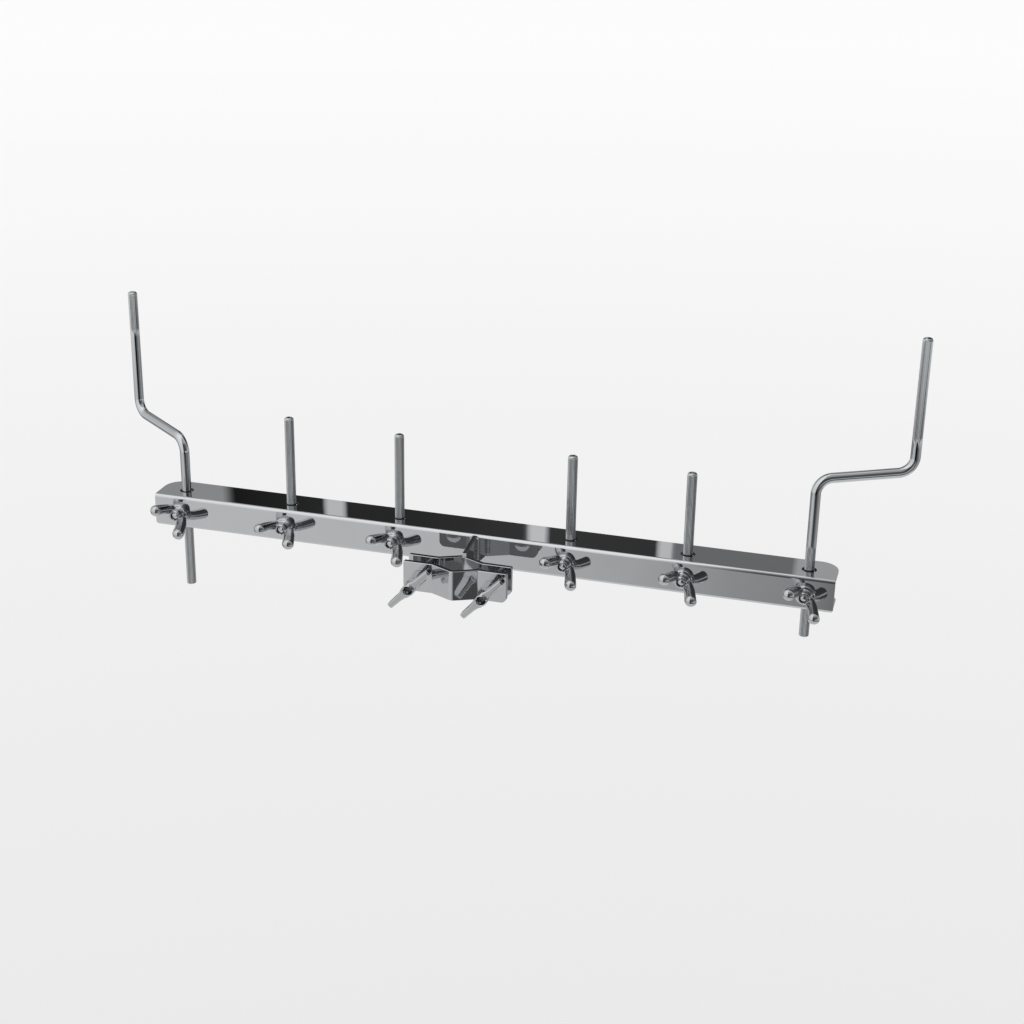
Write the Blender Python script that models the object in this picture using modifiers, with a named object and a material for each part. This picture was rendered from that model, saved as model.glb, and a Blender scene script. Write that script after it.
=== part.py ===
"""Percussion mounting rack: a folded steel rail that carries six mounting rods
and grips a stand tube with a two-jaw clamp.

Units are metres, +Z is up, +X runs along the rail and +Y points to its open rear.
The origin is on the axis of the stand tube that the clamp grips, at the middle of
the jaws' height.
"""
import math

import bmesh
import bpy
from mathutils import Matrix, Vector

MM = 0.001

# General fits
GAP = 0.3 * MM                  # clearance between pieces that touch
MERGE = 0.01 * MM               # merge distance for welded vertices

# Rail: a C-channel folded from sheet, open to the rear
RAIL_LENGTH = 762 * MM
RAIL_HEIGHT = 37 * MM
RAIL_DEPTH = 46 * MM
RAIL_SHEET = 2.5 * MM
RAIL_BEND_RADIUS = 3.5 * MM     # outside of the two folds
RAIL_CORNER_RADIUS = 20 * MM    # rear corners of both flanges, seen from above
RAIL_END_RADIUS = 4.5 * MM      # lower corners of the ends, seen from the front
RAIL_CENTRE_X = 4 * MM          # the clamp sits just left of the rail's middle
RAIL_TOP_ABOVE_JAWS = 8 * MM
STATION_END_MARGIN = 29.5 * MM  # outermost rod to the rail's end
STATION_CENTRE_GAP = 193 * MM   # between the two rods nearest the clamp
ROD_SET_BACK = 20.5 * MM        # rod axis behind the rail's front face

# Stand clamp
TUBE_DIAMETER = 31.75 * MM
TUBE_TO_WEB = 60.5 * MM         # tube axis to the rail's front face
JAW_THICKNESS = 5 * MM
JAW_HEIGHT = 33 * MM
JAW_HALF_WIDTH = 56.5 * MM
JAW_VEE_HALF_WIDTH = 24.3 * MM
JAW_VEE_ANGLE = math.radians(25.7)
JAW_BEND_RADIUS = 5.5 * MM      # centreline of the folds
JAW_TOP_CORNER = 1.2 * MM
JAW_BOTTOM_CORNER = 6.5 * MM
CLAMP_BOLT_X = 39.4 * MM
NECK_THICKNESS = 5 * MM
NECK_HEIGHT = 33 * MM
NECK_BELOW_RAIL_TOP = 0.6 * MM
NECK_ABOVE_JAW = 1.9 * MM       # top edge over the rear jaw's top edge
NECK_WELD = 3 * MM

# Screws
THREAD_DIAMETER = 8 * MM
THREAD_PITCH = 1.25 * MM
THREAD_HOLE_DIAMETER = THREAD_DIAMETER + 2 * GAP
THREAD_END_CHAMFER = 0.8 * MM
RAIL_WASHER_DIAMETER = 21 * MM
CLAMP_WASHER_DIAMETER = 16 * MM
WASHER_THICKNESS = 1.6 * MM
BOLT_HEAD_DIAMETER = 18 * MM
BOLT_HEAD_HEIGHT = 4.6 * MM
CLAMP_BOLT_REACH = 38 * MM      # bolt tip in front of the tube axis

# Rods
ROD_DIAMETER = 10.5 * MM
ROD_RADIUS = ROD_DIAMETER / 2
STRAIGHT_ROD_RISE = 97 * MM     # above the rail's top flange
STRAIGHT_ROD_FALL = 4 * MM      # below the rail's bottom flange
Z_ROD_LOWER_LEG = 176 * MM      # corner to end
Z_ROD_ARM = 101 * MM            # corner to corner
Z_ROD_UPPER_LEG = 142 * MM      # corner to tip
Z_ROD_ARM_TILT = math.radians(3.0)
Z_ROD_BEND_RADIUS = 17 * MM
Z_ROD_LEFT_RISE = 61.6 * MM     # lower corner above the rail's top flange
Z_ROD_RIGHT_RISE = 100.7 * MM
ROD_TIP_LENGTH = 4.2 * MM       # length of the domed tip
ROD_FOOT_LENGTH = 1 * MM        # length of the foot's chamfer
ROD_TIP_SHAPE = ((0.50, 0.0), (0.76, 0.21), (0.93, 0.52), (1.0, 1.0))
ROD_FOOT_SHAPE = ((0.84, 0.0), (1.0, 1.0))

# Eye bolts
EYE_BORE_RADIUS = ROD_RADIUS + GAP
EYE_OUTER_RADIUS = 10.5 * MM
EYE_THICKNESS = 9 * MM
EYE_CHAMFER = 1.6 * MM
EYE_TRAVEL = THREAD_PITCH       # one turn of the wing nut
EYE_BOLT_RECESS = 1.2 * MM      # bolt end inside the wing nut's mouth
SHANK_ROOT = 7.5 * MM           # where the shank starts inside the eye's wall

# Rail wing nuts
RAIL_NUT_BASE_RADIUS = 9.5 * MM
RAIL_NUT_WAIST_RADIUS = 7.6 * MM
RAIL_NUT_MOUTH_RADIUS = 6.8 * MM
RAIL_NUT_MOUTH_BORE = 9.2 * MM
RAIL_NUT_HUB_HEIGHT = 11.5 * MM
RAIL_WING_TIP_RADIUS = 17.8 * MM
RAIL_WING_TIP_HEIGHT = 30.2 * MM
RAIL_WING_KNOB = 5.1 * MM
RAIL_WING_THICKNESS = 6 * MM

# Clamp wing nuts
CLAMP_NUT_BASE_RADIUS = 7.4 * MM
CLAMP_NUT_WAIST_RADIUS = 6.8 * MM
CLAMP_NUT_MOUTH_RADIUS = 6.2 * MM
CLAMP_NUT_MOUTH_BORE = 9.6 * MM
CLAMP_NUT_HUB_HEIGHT = 34.4 * MM
CLAMP_WING_SPAN = 62 * MM
CLAMP_WING_HEIGHT = 26.6 * MM
CLAMP_WING_DEPTH = 12 * MM      # along the bolt, at the hub
CLAMP_WING_TIP_DEPTH = 9.6 * MM
CLAMP_WING_TIP_THICKNESS = 6.2 * MM

# Facet counts
ROUND_STEPS = 20
HOLE_STEPS = 20
BEND_STEPS = 6

# Values that follow from the sizes above
STATION_PITCH = (RAIL_LENGTH / 2 - STATION_END_MARGIN - STATION_CENTRE_GAP / 2) / 2
ROD_TIP_PROFILE = [(share, depth * ROD_TIP_LENGTH) for share, depth in ROD_TIP_SHAPE]
ROD_FOOT_PROFILE = [(share, depth * ROD_FOOT_LENGTH) for share, depth in ROD_FOOT_SHAPE]
WEB_Y = TUBE_TO_WEB
JAW_TOP_Z = JAW_HEIGHT / 2
RAIL_TOP_Z = JAW_TOP_Z + RAIL_TOP_ABOVE_JAWS
RAIL_BOTTOM_Z = RAIL_TOP_Z - RAIL_HEIGHT
RAIL_MIDDLE_Z = (RAIL_TOP_Z + RAIL_BOTTOM_Z) / 2
ROD_Y = WEB_Y + ROD_SET_BACK
ROD_HOLE_RADIUS = ROD_RADIUS + GAP + EYE_TRAVEL / 2
ROD_HOLE_Y = ROD_Y + EYE_TRAVEL / 2
JAW_APEX = (TUBE_DIAMETER / 2 + GAP + JAW_THICKNESS / 2) / math.cos(JAW_VEE_ANGLE)
JAW_EAR = JAW_APEX - JAW_VEE_HALF_WIDTH * math.tan(JAW_VEE_ANGLE)
JAW_EAR_FRONT = JAW_EAR + JAW_THICKNESS / 2
RAIL_NUT_SEAT = 2 * GAP + WASHER_THICKNESS
CLAMP_NUT_SEAT = JAW_EAR_FRONT + 2 * GAP + WASHER_THICKNESS

# Each station, from left to right: its X from the rail's middle, the angle of its
# wing nut's wings, and what it holds. A Z-rod also has the height of its lower
# corner above the rail and the heading of its arm.
STATIONS = (
    {"name": "1", "side": -1, "step": 2, "nut_angle": 136, "corner_rise": Z_ROD_LEFT_RISE, "heading": 145.1},
    {"name": "2", "side": -1, "step": 1, "nut_angle": 158},
    {"name": "3", "side": -1, "step": 0, "nut_angle": 144},
    {"name": "4", "side": 1, "step": 0, "nut_angle": 143},
    {"name": "5", "side": 1, "step": 1, "nut_angle": 145},
    {"name": "6", "side": 1, "step": 2, "nut_angle": 140, "corner_rise": Z_ROD_RIGHT_RISE, "heading": 22.6},
)
CLAMP_SIDES = (("left", -1, 46), ("right", 1, 47))

# Local +Z of a screw piece points forward, out of the rail's front
FORWARD = Matrix.Rotation(math.radians(90), 4, "X")


def station_x(station):
    """World X of a station's rod."""
    offset = STATION_CENTRE_GAP / 2 + station["step"] * STATION_PITCH
    return RAIL_CENTRE_X + station["side"] * offset


def clear_scene():
    """Remove whatever the file opened with."""
    for item in list(bpy.data.objects):
        bpy.data.objects.remove(item, do_unlink=True)


def new_collection(name):
    """A collection linked to the scene."""
    collection = bpy.data.collections.new(name)
    bpy.context.scene.collection.children.link(collection)
    return collection


def add_object(name, data, collection):
    """Link an object with the given data."""
    item = bpy.data.objects.new(name, data)
    collection.objects.link(item)
    return item


def chrome(name, tint, roughness):
    """Polished plating for one piece."""
    material = bpy.data.materials.new(name)
    material.use_nodes = True
    shader = material.node_tree.nodes["Principled BSDF"]
    shader.inputs["Base Color"].default_value = (*tint, 1.0)
    shader.inputs["Metallic"].default_value = 1.0
    shader.inputs["Roughness"].default_value = roughness
    return material


def finish(item, tint=(0.80, 0.81, 0.83), roughness=0.08):
    """Shade a piece smooth between its sharp edges and give it its plating."""
    item.data.shade_smooth()
    item.data.set_sharp_from_angle(angle=math.radians(35))
    if not item.data.materials:
        item.data.materials.append(None)
    item.material_slots[0].link = "OBJECT"
    item.material_slots[0].material = chrome(item.name + "_plating", tint, roughness)


def arc(centre, radius, start, end, steps):
    """Points on a circular arc in a plane, angles in degrees."""
    points = []
    for i in range(steps + 1):
        angle = math.radians(start + (end - start) * i / steps)
        points.append((centre[0] + radius * math.cos(angle), centre[1] + radius * math.sin(angle)))
    return points


def rounded_path(corners, radius, steps):
    """A polyline through the corners with each inner corner turned into an arc."""
    corners = [Vector(corner) for corner in corners]
    path = [corners[0]]
    for before, corner, after in zip(corners, corners[1:], corners[2:]):
        into = (corner - before).normalized()
        out = (after - corner).normalized()
        turn = into.angle(out)
        reach = radius * math.tan(turn / 2)
        start = corner - into * reach
        side = (out - into * into.dot(out)).normalized()
        centre = start + side * radius
        for i in range(steps + 1):
            angle = turn * i / steps
            path.append(centre - side * radius * math.cos(angle) + into * radius * math.sin(angle))
    path.append(corners[-1])
    return path


def strip_outline(path, width):
    """The closed outline of a strip of even width along a flat path."""
    left = []
    right = []
    last = len(path) - 1
    for i, point in enumerate(path):
        along = (path[min(i + 1, last)] - path[max(i - 1, 0)]).normalized()
        across = Vector((-along.y, along.x)) * width / 2
        left.append(point + across)
        right.append(point - across)
    return [tuple(point) for point in left + right[::-1]]


def bake(item):
    """Replace an object's data and modifiers by its evaluated mesh."""
    bpy.context.view_layer.update()
    evaluated = item.evaluated_get(bpy.context.evaluated_depsgraph_get())
    mesh = bpy.data.meshes.new_from_object(evaluated)
    work = bmesh.new()
    work.from_mesh(mesh)
    bmesh.ops.remove_doubles(work, verts=work.verts, dist=MERGE)
    work.to_mesh(mesh)
    work.free()
    name = item.name
    collection = item.users_collection[0]
    place = item.matrix_world.copy()
    bpy.data.objects.remove(item, do_unlink=True)
    solid = add_object(name, mesh, collection)
    solid.matrix_world = place
    return solid


def plate(name, outline, thickness, collection):
    """A flat outline in the XY plane, extruded evenly to both sides along Z."""
    curve = bpy.data.curves.new(name, "CURVE")
    curve.dimensions = "2D"
    curve.fill_mode = "BOTH"
    curve.extrude = thickness / 2
    spline = curve.splines.new("POLY")
    spline.points.add(len(outline) - 1)
    for point, (x, y) in zip(spline.points, outline):
        point.co = (x, y, 0, 1)
    spline.use_cyclic_u = True
    return bake(add_object(name, curve, collection))


def turned(name, profile, collection, steps=ROUND_STEPS, closed=False):
    """A profile of (radius, height) points turned about Z.

    It runs down the outer side from top to bottom. A closed profile has a bore.
    """
    work = bmesh.new()
    verts = [work.verts.new((radius, 0, height)) for radius, height in profile]
    pairs = list(zip(verts, verts[1:]))
    if closed:
        pairs.append((verts[-1], verts[0]))
    for pair in pairs:
        work.edges.new(pair)
    mesh = bpy.data.meshes.new(name)
    work.to_mesh(mesh)
    work.free()
    item = add_object(name, mesh, collection)
    screw = item.modifiers.new("turn", "SCREW")
    screw.steps = steps
    screw.render_steps = steps
    screw.use_merge_vertices = True
    screw.merge_threshold = MERGE
    return bake(item)


def cylinder(name, radius, start, end, collection, steps=HOLE_STEPS):
    """A plain cylinder between two points."""
    start = Vector(start)
    end = Vector(end)
    work = bmesh.new()
    bmesh.ops.create_cone(work, cap_ends=True, segments=steps, radius1=radius, radius2=radius,
                          depth=(end - start).length)
    turn = (end - start).to_track_quat("Z", "Y").to_matrix().to_4x4()
    bmesh.ops.transform(work, verts=work.verts, matrix=Matrix.Translation((start + end) / 2) @ turn)
    mesh = bpy.data.meshes.new(name)
    work.to_mesh(mesh)
    work.free()
    return add_object(name, mesh, collection)


def transform(item, matrix):
    """Move a mesh inside its object."""
    item.data.transform(matrix)
    item.data.update()
    return item


def boolean(item, tool, operation):
    """Join, cut or trim a solid with another one and drop the tool."""
    modifier = item.modifiers.new(tool.name, "BOOLEAN")
    modifier.operation = operation
    modifier.object = tool
    modifier.solver = "EXACT"
    item = bake(item)
    bpy.data.objects.remove(tool, do_unlink=True)
    return item


def boolean_live(item, tool, operation):
    """Cut or trim a solid and keep the tool as a guide in its own collection."""
    modifier = item.modifiers.new(tool.name, "BOOLEAN")
    modifier.operation = operation
    modifier.object = tool
    modifier.solver = "EXACT"
    tool.hide_render = True
    tool.display_type = "WIRE"


def join_tools(name, tools, collection):
    """Gather separate cutters into one object."""
    work = bmesh.new()
    for tool in tools:
        work.from_mesh(tool.data)
        bpy.data.objects.remove(tool, do_unlink=True)
    mesh = bpy.data.meshes.new(name)
    work.to_mesh(mesh)
    work.free()
    return add_object(name, mesh, collection)


def soften(item, width, segments, angle=40):
    """Round a solid's sharp edges."""
    bevel = item.modifiers.new("soften", "BEVEL")
    bevel.width = width
    bevel.segments = segments
    bevel.limit_method = "ANGLE"
    bevel.angle_limit = math.radians(angle)
    return bake(item)


def channel_outline(depth):
    """Section of the folded rail, as (Y behind the web, Z) points."""
    fold = RAIL_BEND_RADIUS
    inner = RAIL_BEND_RADIUS - RAIL_SHEET
    top = RAIL_TOP_Z
    bottom = RAIL_BOTTOM_Z
    outline = [(depth, top)]
    outline += arc((fold, top - fold), fold, 90, 180, BEND_STEPS)
    outline += arc((fold, bottom + fold), fold, 180, 270, BEND_STEPS)
    outline += [(depth, bottom), (depth, bottom + RAIL_SHEET)]
    outline += arc((fold, bottom + fold), inner, 270, 180, BEND_STEPS // 2)
    outline += arc((fold, top - fold), inner, 180, 90, BEND_STEPS // 2)
    outline += [(depth, top - RAIL_SHEET)]
    return outline


def flange_plan():
    """Outline that trims the rail in length and rounds the flanges' rear corners."""
    half = RAIL_LENGTH / 2
    radius = RAIL_CORNER_RADIUS
    outline = [(-half, -radius), (half, -radius)]
    outline += arc((half - radius, RAIL_DEPTH - radius), radius, 0, 90, 2 * BEND_STEPS)
    outline += arc((radius - half, RAIL_DEPTH - radius), radius, 90, 180, 2 * BEND_STEPS)
    return outline


def front_face():
    """Outline that rounds the lower corners of the rail's ends."""
    half = RAIL_LENGTH / 2
    radius = RAIL_END_RADIUS
    top = RAIL_HEIGHT
    inset_x = half - radius
    inset_z = radius - RAIL_HEIGHT / 2
    outline = [(half, top), (-half, top)]
    outline += arc((-inset_x, inset_z), radius, 180, 270, BEND_STEPS)
    outline += arc((inset_x, inset_z), radius, 270, 360, BEND_STEPS)
    return outline


def make_rail(parts, guides):
    """The folded channel with its rod holes and eye-bolt holes."""
    spare = 2 * MM
    rail = plate("rail", channel_outline(RAIL_DEPTH + spare), RAIL_LENGTH + 2 * spare, parts)
    across = Matrix(((0, 0, 1, 0), (1, 0, 0, 0), (0, 1, 0, 0), (0, 0, 0, 1)))
    transform(rail, across)
    rail.location = (RAIL_CENTRE_X, WEB_Y, 0)
    plan = plate("rail_plan", flange_plan(), 3 * RAIL_HEIGHT, guides)
    plan.location = (RAIL_CENTRE_X, WEB_Y, RAIL_MIDDLE_Z)
    boolean_live(rail, plan, "INTERSECT")
    face = plate("rail_face", front_face(), 3 * RAIL_DEPTH, guides)
    transform(face, Matrix.Rotation(math.radians(90), 4, "X"))
    face.location = (RAIL_CENTRE_X, WEB_Y, RAIL_MIDDLE_Z)
    boolean_live(rail, face, "INTERSECT")
    holes = []
    for station in STATIONS:
        x = station_x(station)
        reach = 2 * RAIL_SHEET
        holes.append(cylinder("rod_hole", ROD_HOLE_RADIUS, (x, ROD_HOLE_Y, RAIL_BOTTOM_Z - reach),
                              (x, ROD_HOLE_Y, RAIL_TOP_Z + reach), guides))
        holes.append(cylinder("bolt_hole", THREAD_HOLE_DIAMETER / 2, (x, WEB_Y - reach, RAIL_MIDDLE_Z),
                              (x, WEB_Y + reach, RAIL_MIDDLE_Z), guides, ROUND_STEPS))
    boolean_live(rail, join_tools("rail_holes", holes, guides), "DIFFERENCE")
    finish(rail)


def jaw_outer_y(x):
    """How far a jaw's outer side stands from the tube axis at a given X in its vee."""
    facet = JAW_APEX + JAW_THICKNESS / 2 / math.cos(JAW_VEE_ANGLE) - abs(x) * math.tan(JAW_VEE_ANGLE)
    outer = JAW_BEND_RADIUS + JAW_THICKNESS / 2
    if abs(x) >= outer * math.sin(JAW_VEE_ANGLE):
        return facet
    centre = JAW_APEX - JAW_BEND_RADIUS / math.cos(JAW_VEE_ANGLE)
    return centre + math.sqrt(outer ** 2 - x ** 2)


def make_neck(parts):
    """The plate welded between the rail's web and the rear jaw's vee."""
    half = NECK_THICKNESS / 2
    back = WEB_Y - GAP
    toe = half + NECK_WELD
    side = [(x, jaw_outer_y(x) + GAP / math.cos(JAW_VEE_ANGLE)) for x in (0, half, toe)]
    side.append((half, side[-1][1] + NECK_WELD))
    side += arc((toe, back - NECK_WELD), NECK_WELD, 180, 90, 4)
    outline = side + [(-x, y) for x, y in reversed(side) if x > 0]
    neck = plate("clamp_neck", outline, NECK_HEIGHT, parts)
    web_top = RAIL_TOP_Z - NECK_BELOW_RAIL_TOP
    jaw_top = JAW_TOP_Z + NECK_ABOVE_JAW
    slope = (web_top - jaw_top) / (back - side[0][1])
    for vert in neck.data.vertices:
        vert.co.z += web_top - NECK_HEIGHT / 2 - (back - vert.co.y) * slope
    finish(neck)


def make_jaw(name, direction, parts, guides):
    """A folded plate with two ears and a vee for the tube."""
    corners = [(-JAW_HALF_WIDTH, JAW_EAR), (-JAW_VEE_HALF_WIDTH, JAW_EAR), (0, JAW_APEX),
               (JAW_VEE_HALF_WIDTH, JAW_EAR), (JAW_HALF_WIDTH, JAW_EAR)]
    path = rounded_path(corners, JAW_BEND_RADIUS, 4)
    jaw = plate(name, strip_outline(path, JAW_THICKNESS), JAW_HEIGHT, parts)
    face = []
    for right, up, start in ((1, 1, 0), (-1, 1, 90), (-1, -1, 180), (1, -1, 270)):
        radius = JAW_TOP_CORNER if up > 0 else JAW_BOTTOM_CORNER
        centre = (right * (JAW_HALF_WIDTH - radius), up * (JAW_HEIGHT / 2 - radius))
        face += arc(centre, radius, start, start + 90, 2 if up > 0 else 5)
    trim = plate(name + "_face", face, 2 * (JAW_APEX + 2 * JAW_THICKNESS), guides)
    transform(trim, Matrix.Rotation(math.radians(90), 4, "X"))
    boolean_live(jaw, trim, "INTERSECT")
    holes = []
    for side in (-1, 1):
        x = side * CLAMP_BOLT_X
        near = JAW_EAR - JAW_THICKNESS
        holes.append(cylinder("ear_hole", THREAD_HOLE_DIAMETER / 2, (x, near, 0),
                              (x, near + 2 * JAW_THICKNESS, 0), guides, ROUND_STEPS))
    boolean_live(jaw, join_tools(name + "_holes", holes, guides), "DIFFERENCE")
    jaw = bake_and_drop_guides(jaw)
    if direction < 0:
        transform(jaw, Matrix.Rotation(math.radians(180), 4, "Z"))
    finish(jaw)


def bake_and_drop_guides(item):
    """Apply a piece's live cuts, so that it can be turned round, and remove their guides."""
    guides = [modifier.object for modifier in item.modifiers]
    item = bake(item)
    for guide in guides:
        bpy.data.objects.remove(guide, do_unlink=True)
    return item


def washer(name, diameter, parts):
    """A flat ring standing on Z = 0."""
    inner = THREAD_HOLE_DIAMETER / 2
    outer = diameter / 2
    profile = [(inner, WASHER_THICKNESS), (outer, WASHER_THICKNESS), (outer, 0), (inner, 0)]
    return turned(name, profile, parts, closed=True)


def nut_hub(name, base_radius, waist_radius, mouth_radius, height, parts):
    """A nut's hub before boring: a flared foot, a tapering barrel and a rounded mouth."""
    foot = 1.6 * MM
    flare = 2.4 * MM
    lip = 1.0 * MM
    profile = [
        (0, height),
        (mouth_radius - lip, height),
        (mouth_radius, height - lip),
        (waist_radius, foot + flare),
        (base_radius, foot),
        (base_radius, 0),
        (0, 0),
    ]
    return turned(name, profile, parts)


def mirrored(outline):
    """An outline drawn for the right-hand wing, continued by its mirror image."""
    return outline + [(-x, y) for x, y in reversed(outline)]


def rail_wings(parts):
    """Two raised wings with round tips, across the axis in the XZ plane."""
    knob = (RAIL_WING_TIP_RADIUS, RAIL_WING_TIP_HEIGHT)
    neck = RAIL_NUT_HUB_HEIGHT
    lean = math.degrees(math.atan2(knob[0] - RAIL_NUT_WAIST_RADIUS, knob[1] - neck / 2))
    outline = [(6.0 * MM, 2.0 * MM), (8.8 * MM, 2.4 * MM), (12.4 * MM, 6.4 * MM),
               (16.8 * MM, 13.6 * MM), (20.6 * MM, 21.8 * MM)]
    outline += arc(knob, RAIL_WING_KNOB, -lean, 180 - lean, 6)
    outline += [(11.2 * MM, 21.4 * MM), (8.6 * MM, 14.2 * MM), (6.0 * MM, neck - 1.8 * MM)]
    wings = plate("wings", mirrored(outline), RAIL_WING_THICKNESS, parts)
    wings = soften(wings, RAIL_WING_THICKNESS * 0.26, 2)
    return transform(wings, Matrix.Rotation(math.radians(90), 4, "X"))


def clamp_wings(parts):
    """Two straight wings as one bar across the axis, thickest and deepest at the hub."""
    tip = CLAMP_WING_SPAN / 2
    hub = CLAMP_NUT_MOUTH_RADIUS
    thin = CLAMP_WING_TIP_THICKNESS / 2
    above = [(tip, thin), (15 * MM, thin + 0.5 * MM), (9.5 * MM, thin + 1.2 * MM), (hub, hub - 0.6 * MM)]
    below = [(x, -y) for x, y in reversed(above)]
    wings = plate("wings", mirrored(below + above), 2 * CLAMP_WING_DEPTH, parts)
    shallow = CLAMP_WING_TIP_DEPTH / 2
    deep = CLAMP_WING_DEPTH / 2
    sides = plate("sides", mirrored([(hub, -deep), (tip + hub, -shallow), (tip + hub, shallow), (hub, deep)]),
                  4 * hub, parts)
    transform(sides, Matrix.Rotation(math.radians(90), 4, "X"))
    wings = boolean(wings, sides, "INTERSECT")
    wings = soften(wings, CLAMP_WING_TIP_THICKNESS * 0.2, 2)
    return transform(wings, Matrix.Translation((0, 0, CLAMP_WING_HEIGHT)))


def wing_nut(hub, wings, mouth_bore, height, parts):
    """Join a hub and its wings into one casting and bore it for the thread."""
    nut = boolean(hub, wings, "UNION")
    thread = THREAD_HOLE_DIAMETER / 2
    mouth = mouth_bore / 2
    spare = 1 * MM
    depth = height / 3
    profile = [
        (0, height + spare),
        (mouth + spare / 2, height + spare),
        (mouth, height - spare / 2),
        (mouth, height - depth),
        (thread, height - depth - (mouth - thread)),
        (thread, -spare),
        (0, -spare),
    ]
    return boolean(nut, turned("bore", profile, parts), "DIFFERENCE")


def eye_bolt(name, tip, parts):
    """A ring that holds the rod, with a threaded shank pointing forward (-Y)."""
    half = EYE_THICKNESS / 2
    chamfer = EYE_CHAMFER
    section = [
        (EYE_BORE_RADIUS, half),
        (EYE_OUTER_RADIUS - chamfer, half),
        (EYE_OUTER_RADIUS, half - chamfer),
        (EYE_OUTER_RADIUS, chamfer - half),
        (EYE_OUTER_RADIUS - chamfer, -half),
        (EYE_BORE_RADIUS, -half),
    ]
    ring = turned(name, section, parts, closed=True)
    radius = THREAD_DIAMETER / 2
    root_radius = radius + 0.2 * MM
    shank_profile = [
        (0, tip),
        (radius - THREAD_END_CHAMFER, tip),
        (radius, tip - THREAD_END_CHAMFER),
        (radius, EYE_OUTER_RADIUS + 1.0 * MM),
        (root_radius, SHANK_ROOT),
        (0, SHANK_ROOT),
    ]
    shank = turned("shank", shank_profile, parts)
    transform(shank, FORWARD)
    return boolean(ring, shank, "UNION")


def carriage_bolt(name, parts):
    """A domed head behind the rear jaw and a shank through both jaws, along +Z."""
    radius = THREAD_DIAMETER / 2
    head = BOLT_HEAD_DIAMETER / 2
    seat = -(JAW_EAR_FRONT + GAP)
    crown = seat - BOLT_HEAD_HEIGHT
    tip = CLAMP_BOLT_REACH
    profile = [
        (0, tip),
        (radius - THREAD_END_CHAMFER, tip),
        (radius, tip - THREAD_END_CHAMFER),
        (radius, seat),
        (head, seat),
        (head, seat - 0.9 * MM),
        (head * 0.86, crown + 1.6 * MM),
        (head * 0.55, crown + 0.4 * MM),
        (0, crown),
    ]
    return turned(name, profile, parts)


def straight_rod(name, top, bottom, parts):
    """A plain rod with a domed tip and a chamfered foot."""
    profile = [(0, top)]
    profile += [(ROD_RADIUS * share, top - depth) for share, depth in ROD_TIP_PROFILE]
    profile += [(ROD_RADIUS * share, bottom + depth) for share, depth in reversed(ROD_FOOT_PROFILE)]
    profile += [(0, bottom)]
    return turned(name, profile, parts)


def z_rod(name, corner_rise, heading, parts):
    """A rod bent twice: lower leg, arm and upper leg, on the lower leg's axis."""
    corner_z = RAIL_TOP_Z - RAIL_MIDDLE_Z + corner_rise
    turn = math.radians(heading)
    flat = math.cos(Z_ROD_ARM_TILT)
    arm = Vector((flat * math.cos(turn), flat * math.sin(turn), math.sin(Z_ROD_ARM_TILT))) * Z_ROD_ARM
    foot = Vector((0, 0, corner_z - Z_ROD_LOWER_LEG))
    lower = Vector((0, 0, corner_z))
    upper = lower + arm
    tip = upper + Vector((0, 0, Z_ROD_UPPER_LEG))
    middle = rounded_path([foot, lower, upper, tip], Z_ROD_BEND_RADIUS, 8)[1:-1]
    path = [(foot + Vector((0, 0, depth)), share) for share, depth in ROD_FOOT_PROFILE]
    path += [(point, 1.0) for point in middle]
    path += [(tip - Vector((0, 0, depth)), share) for share, depth in reversed(ROD_TIP_PROFILE)]
    curve = bpy.data.curves.new(name, "CURVE")
    curve.dimensions = "3D"
    curve.bevel_depth = ROD_RADIUS
    curve.bevel_resolution = 6
    curve.use_fill_caps = True
    spline = curve.splines.new("POLY")
    spline.points.add(len(path) - 1)
    for point, (place, share) in zip(spline.points, path):
        point.co = (*place, 1)
        point.radius = share
    return bake(add_object(name, curve, parts))


def place_copy(name, source, place, parts):
    """Another object with the same mesh."""
    item = add_object(name, source.data, parts)
    item.matrix_world = place
    finish(item)
    return item


def make_rail_fittings(parts):
    """Eye bolt, washer and wing nut at each station."""
    nut_tip = RAIL_NUT_SEAT + RAIL_NUT_HUB_HEIGHT - EYE_BOLT_RECESS
    eye_source = eye_bolt("eye_source", ROD_SET_BACK + nut_tip, parts)
    washer_source = washer("washer_source", RAIL_WASHER_DIAMETER, parts)
    hub = nut_hub("nut_source", RAIL_NUT_BASE_RADIUS, RAIL_NUT_WAIST_RADIUS,
                  RAIL_NUT_MOUTH_RADIUS, RAIL_NUT_HUB_HEIGHT, parts)
    nut_source = wing_nut(hub, rail_wings(parts), RAIL_NUT_MOUTH_BORE, RAIL_NUT_HUB_HEIGHT, parts)
    for station in STATIONS:
        x = station_x(station)
        number = station["name"]
        eye_place = Matrix.Translation((x, ROD_Y, RAIL_MIDDLE_Z))
        place_copy("eye_bolt_" + number, eye_source, eye_place, parts)
        washer_place = Matrix.Translation((x, WEB_Y - GAP, RAIL_MIDDLE_Z)) @ FORWARD
        place_copy("rail_washer_" + number, washer_source, washer_place, parts)
        turn = Matrix.Rotation(math.radians(station["nut_angle"]), 4, "Z")
        nut_place = Matrix.Translation((x, WEB_Y - RAIL_NUT_SEAT, RAIL_MIDDLE_Z)) @ FORWARD @ turn
        place_copy("rail_wing_nut_" + number, nut_source, nut_place, parts)
    for source in (eye_source, washer_source, nut_source):
        bpy.data.objects.remove(source, do_unlink=True)


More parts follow.
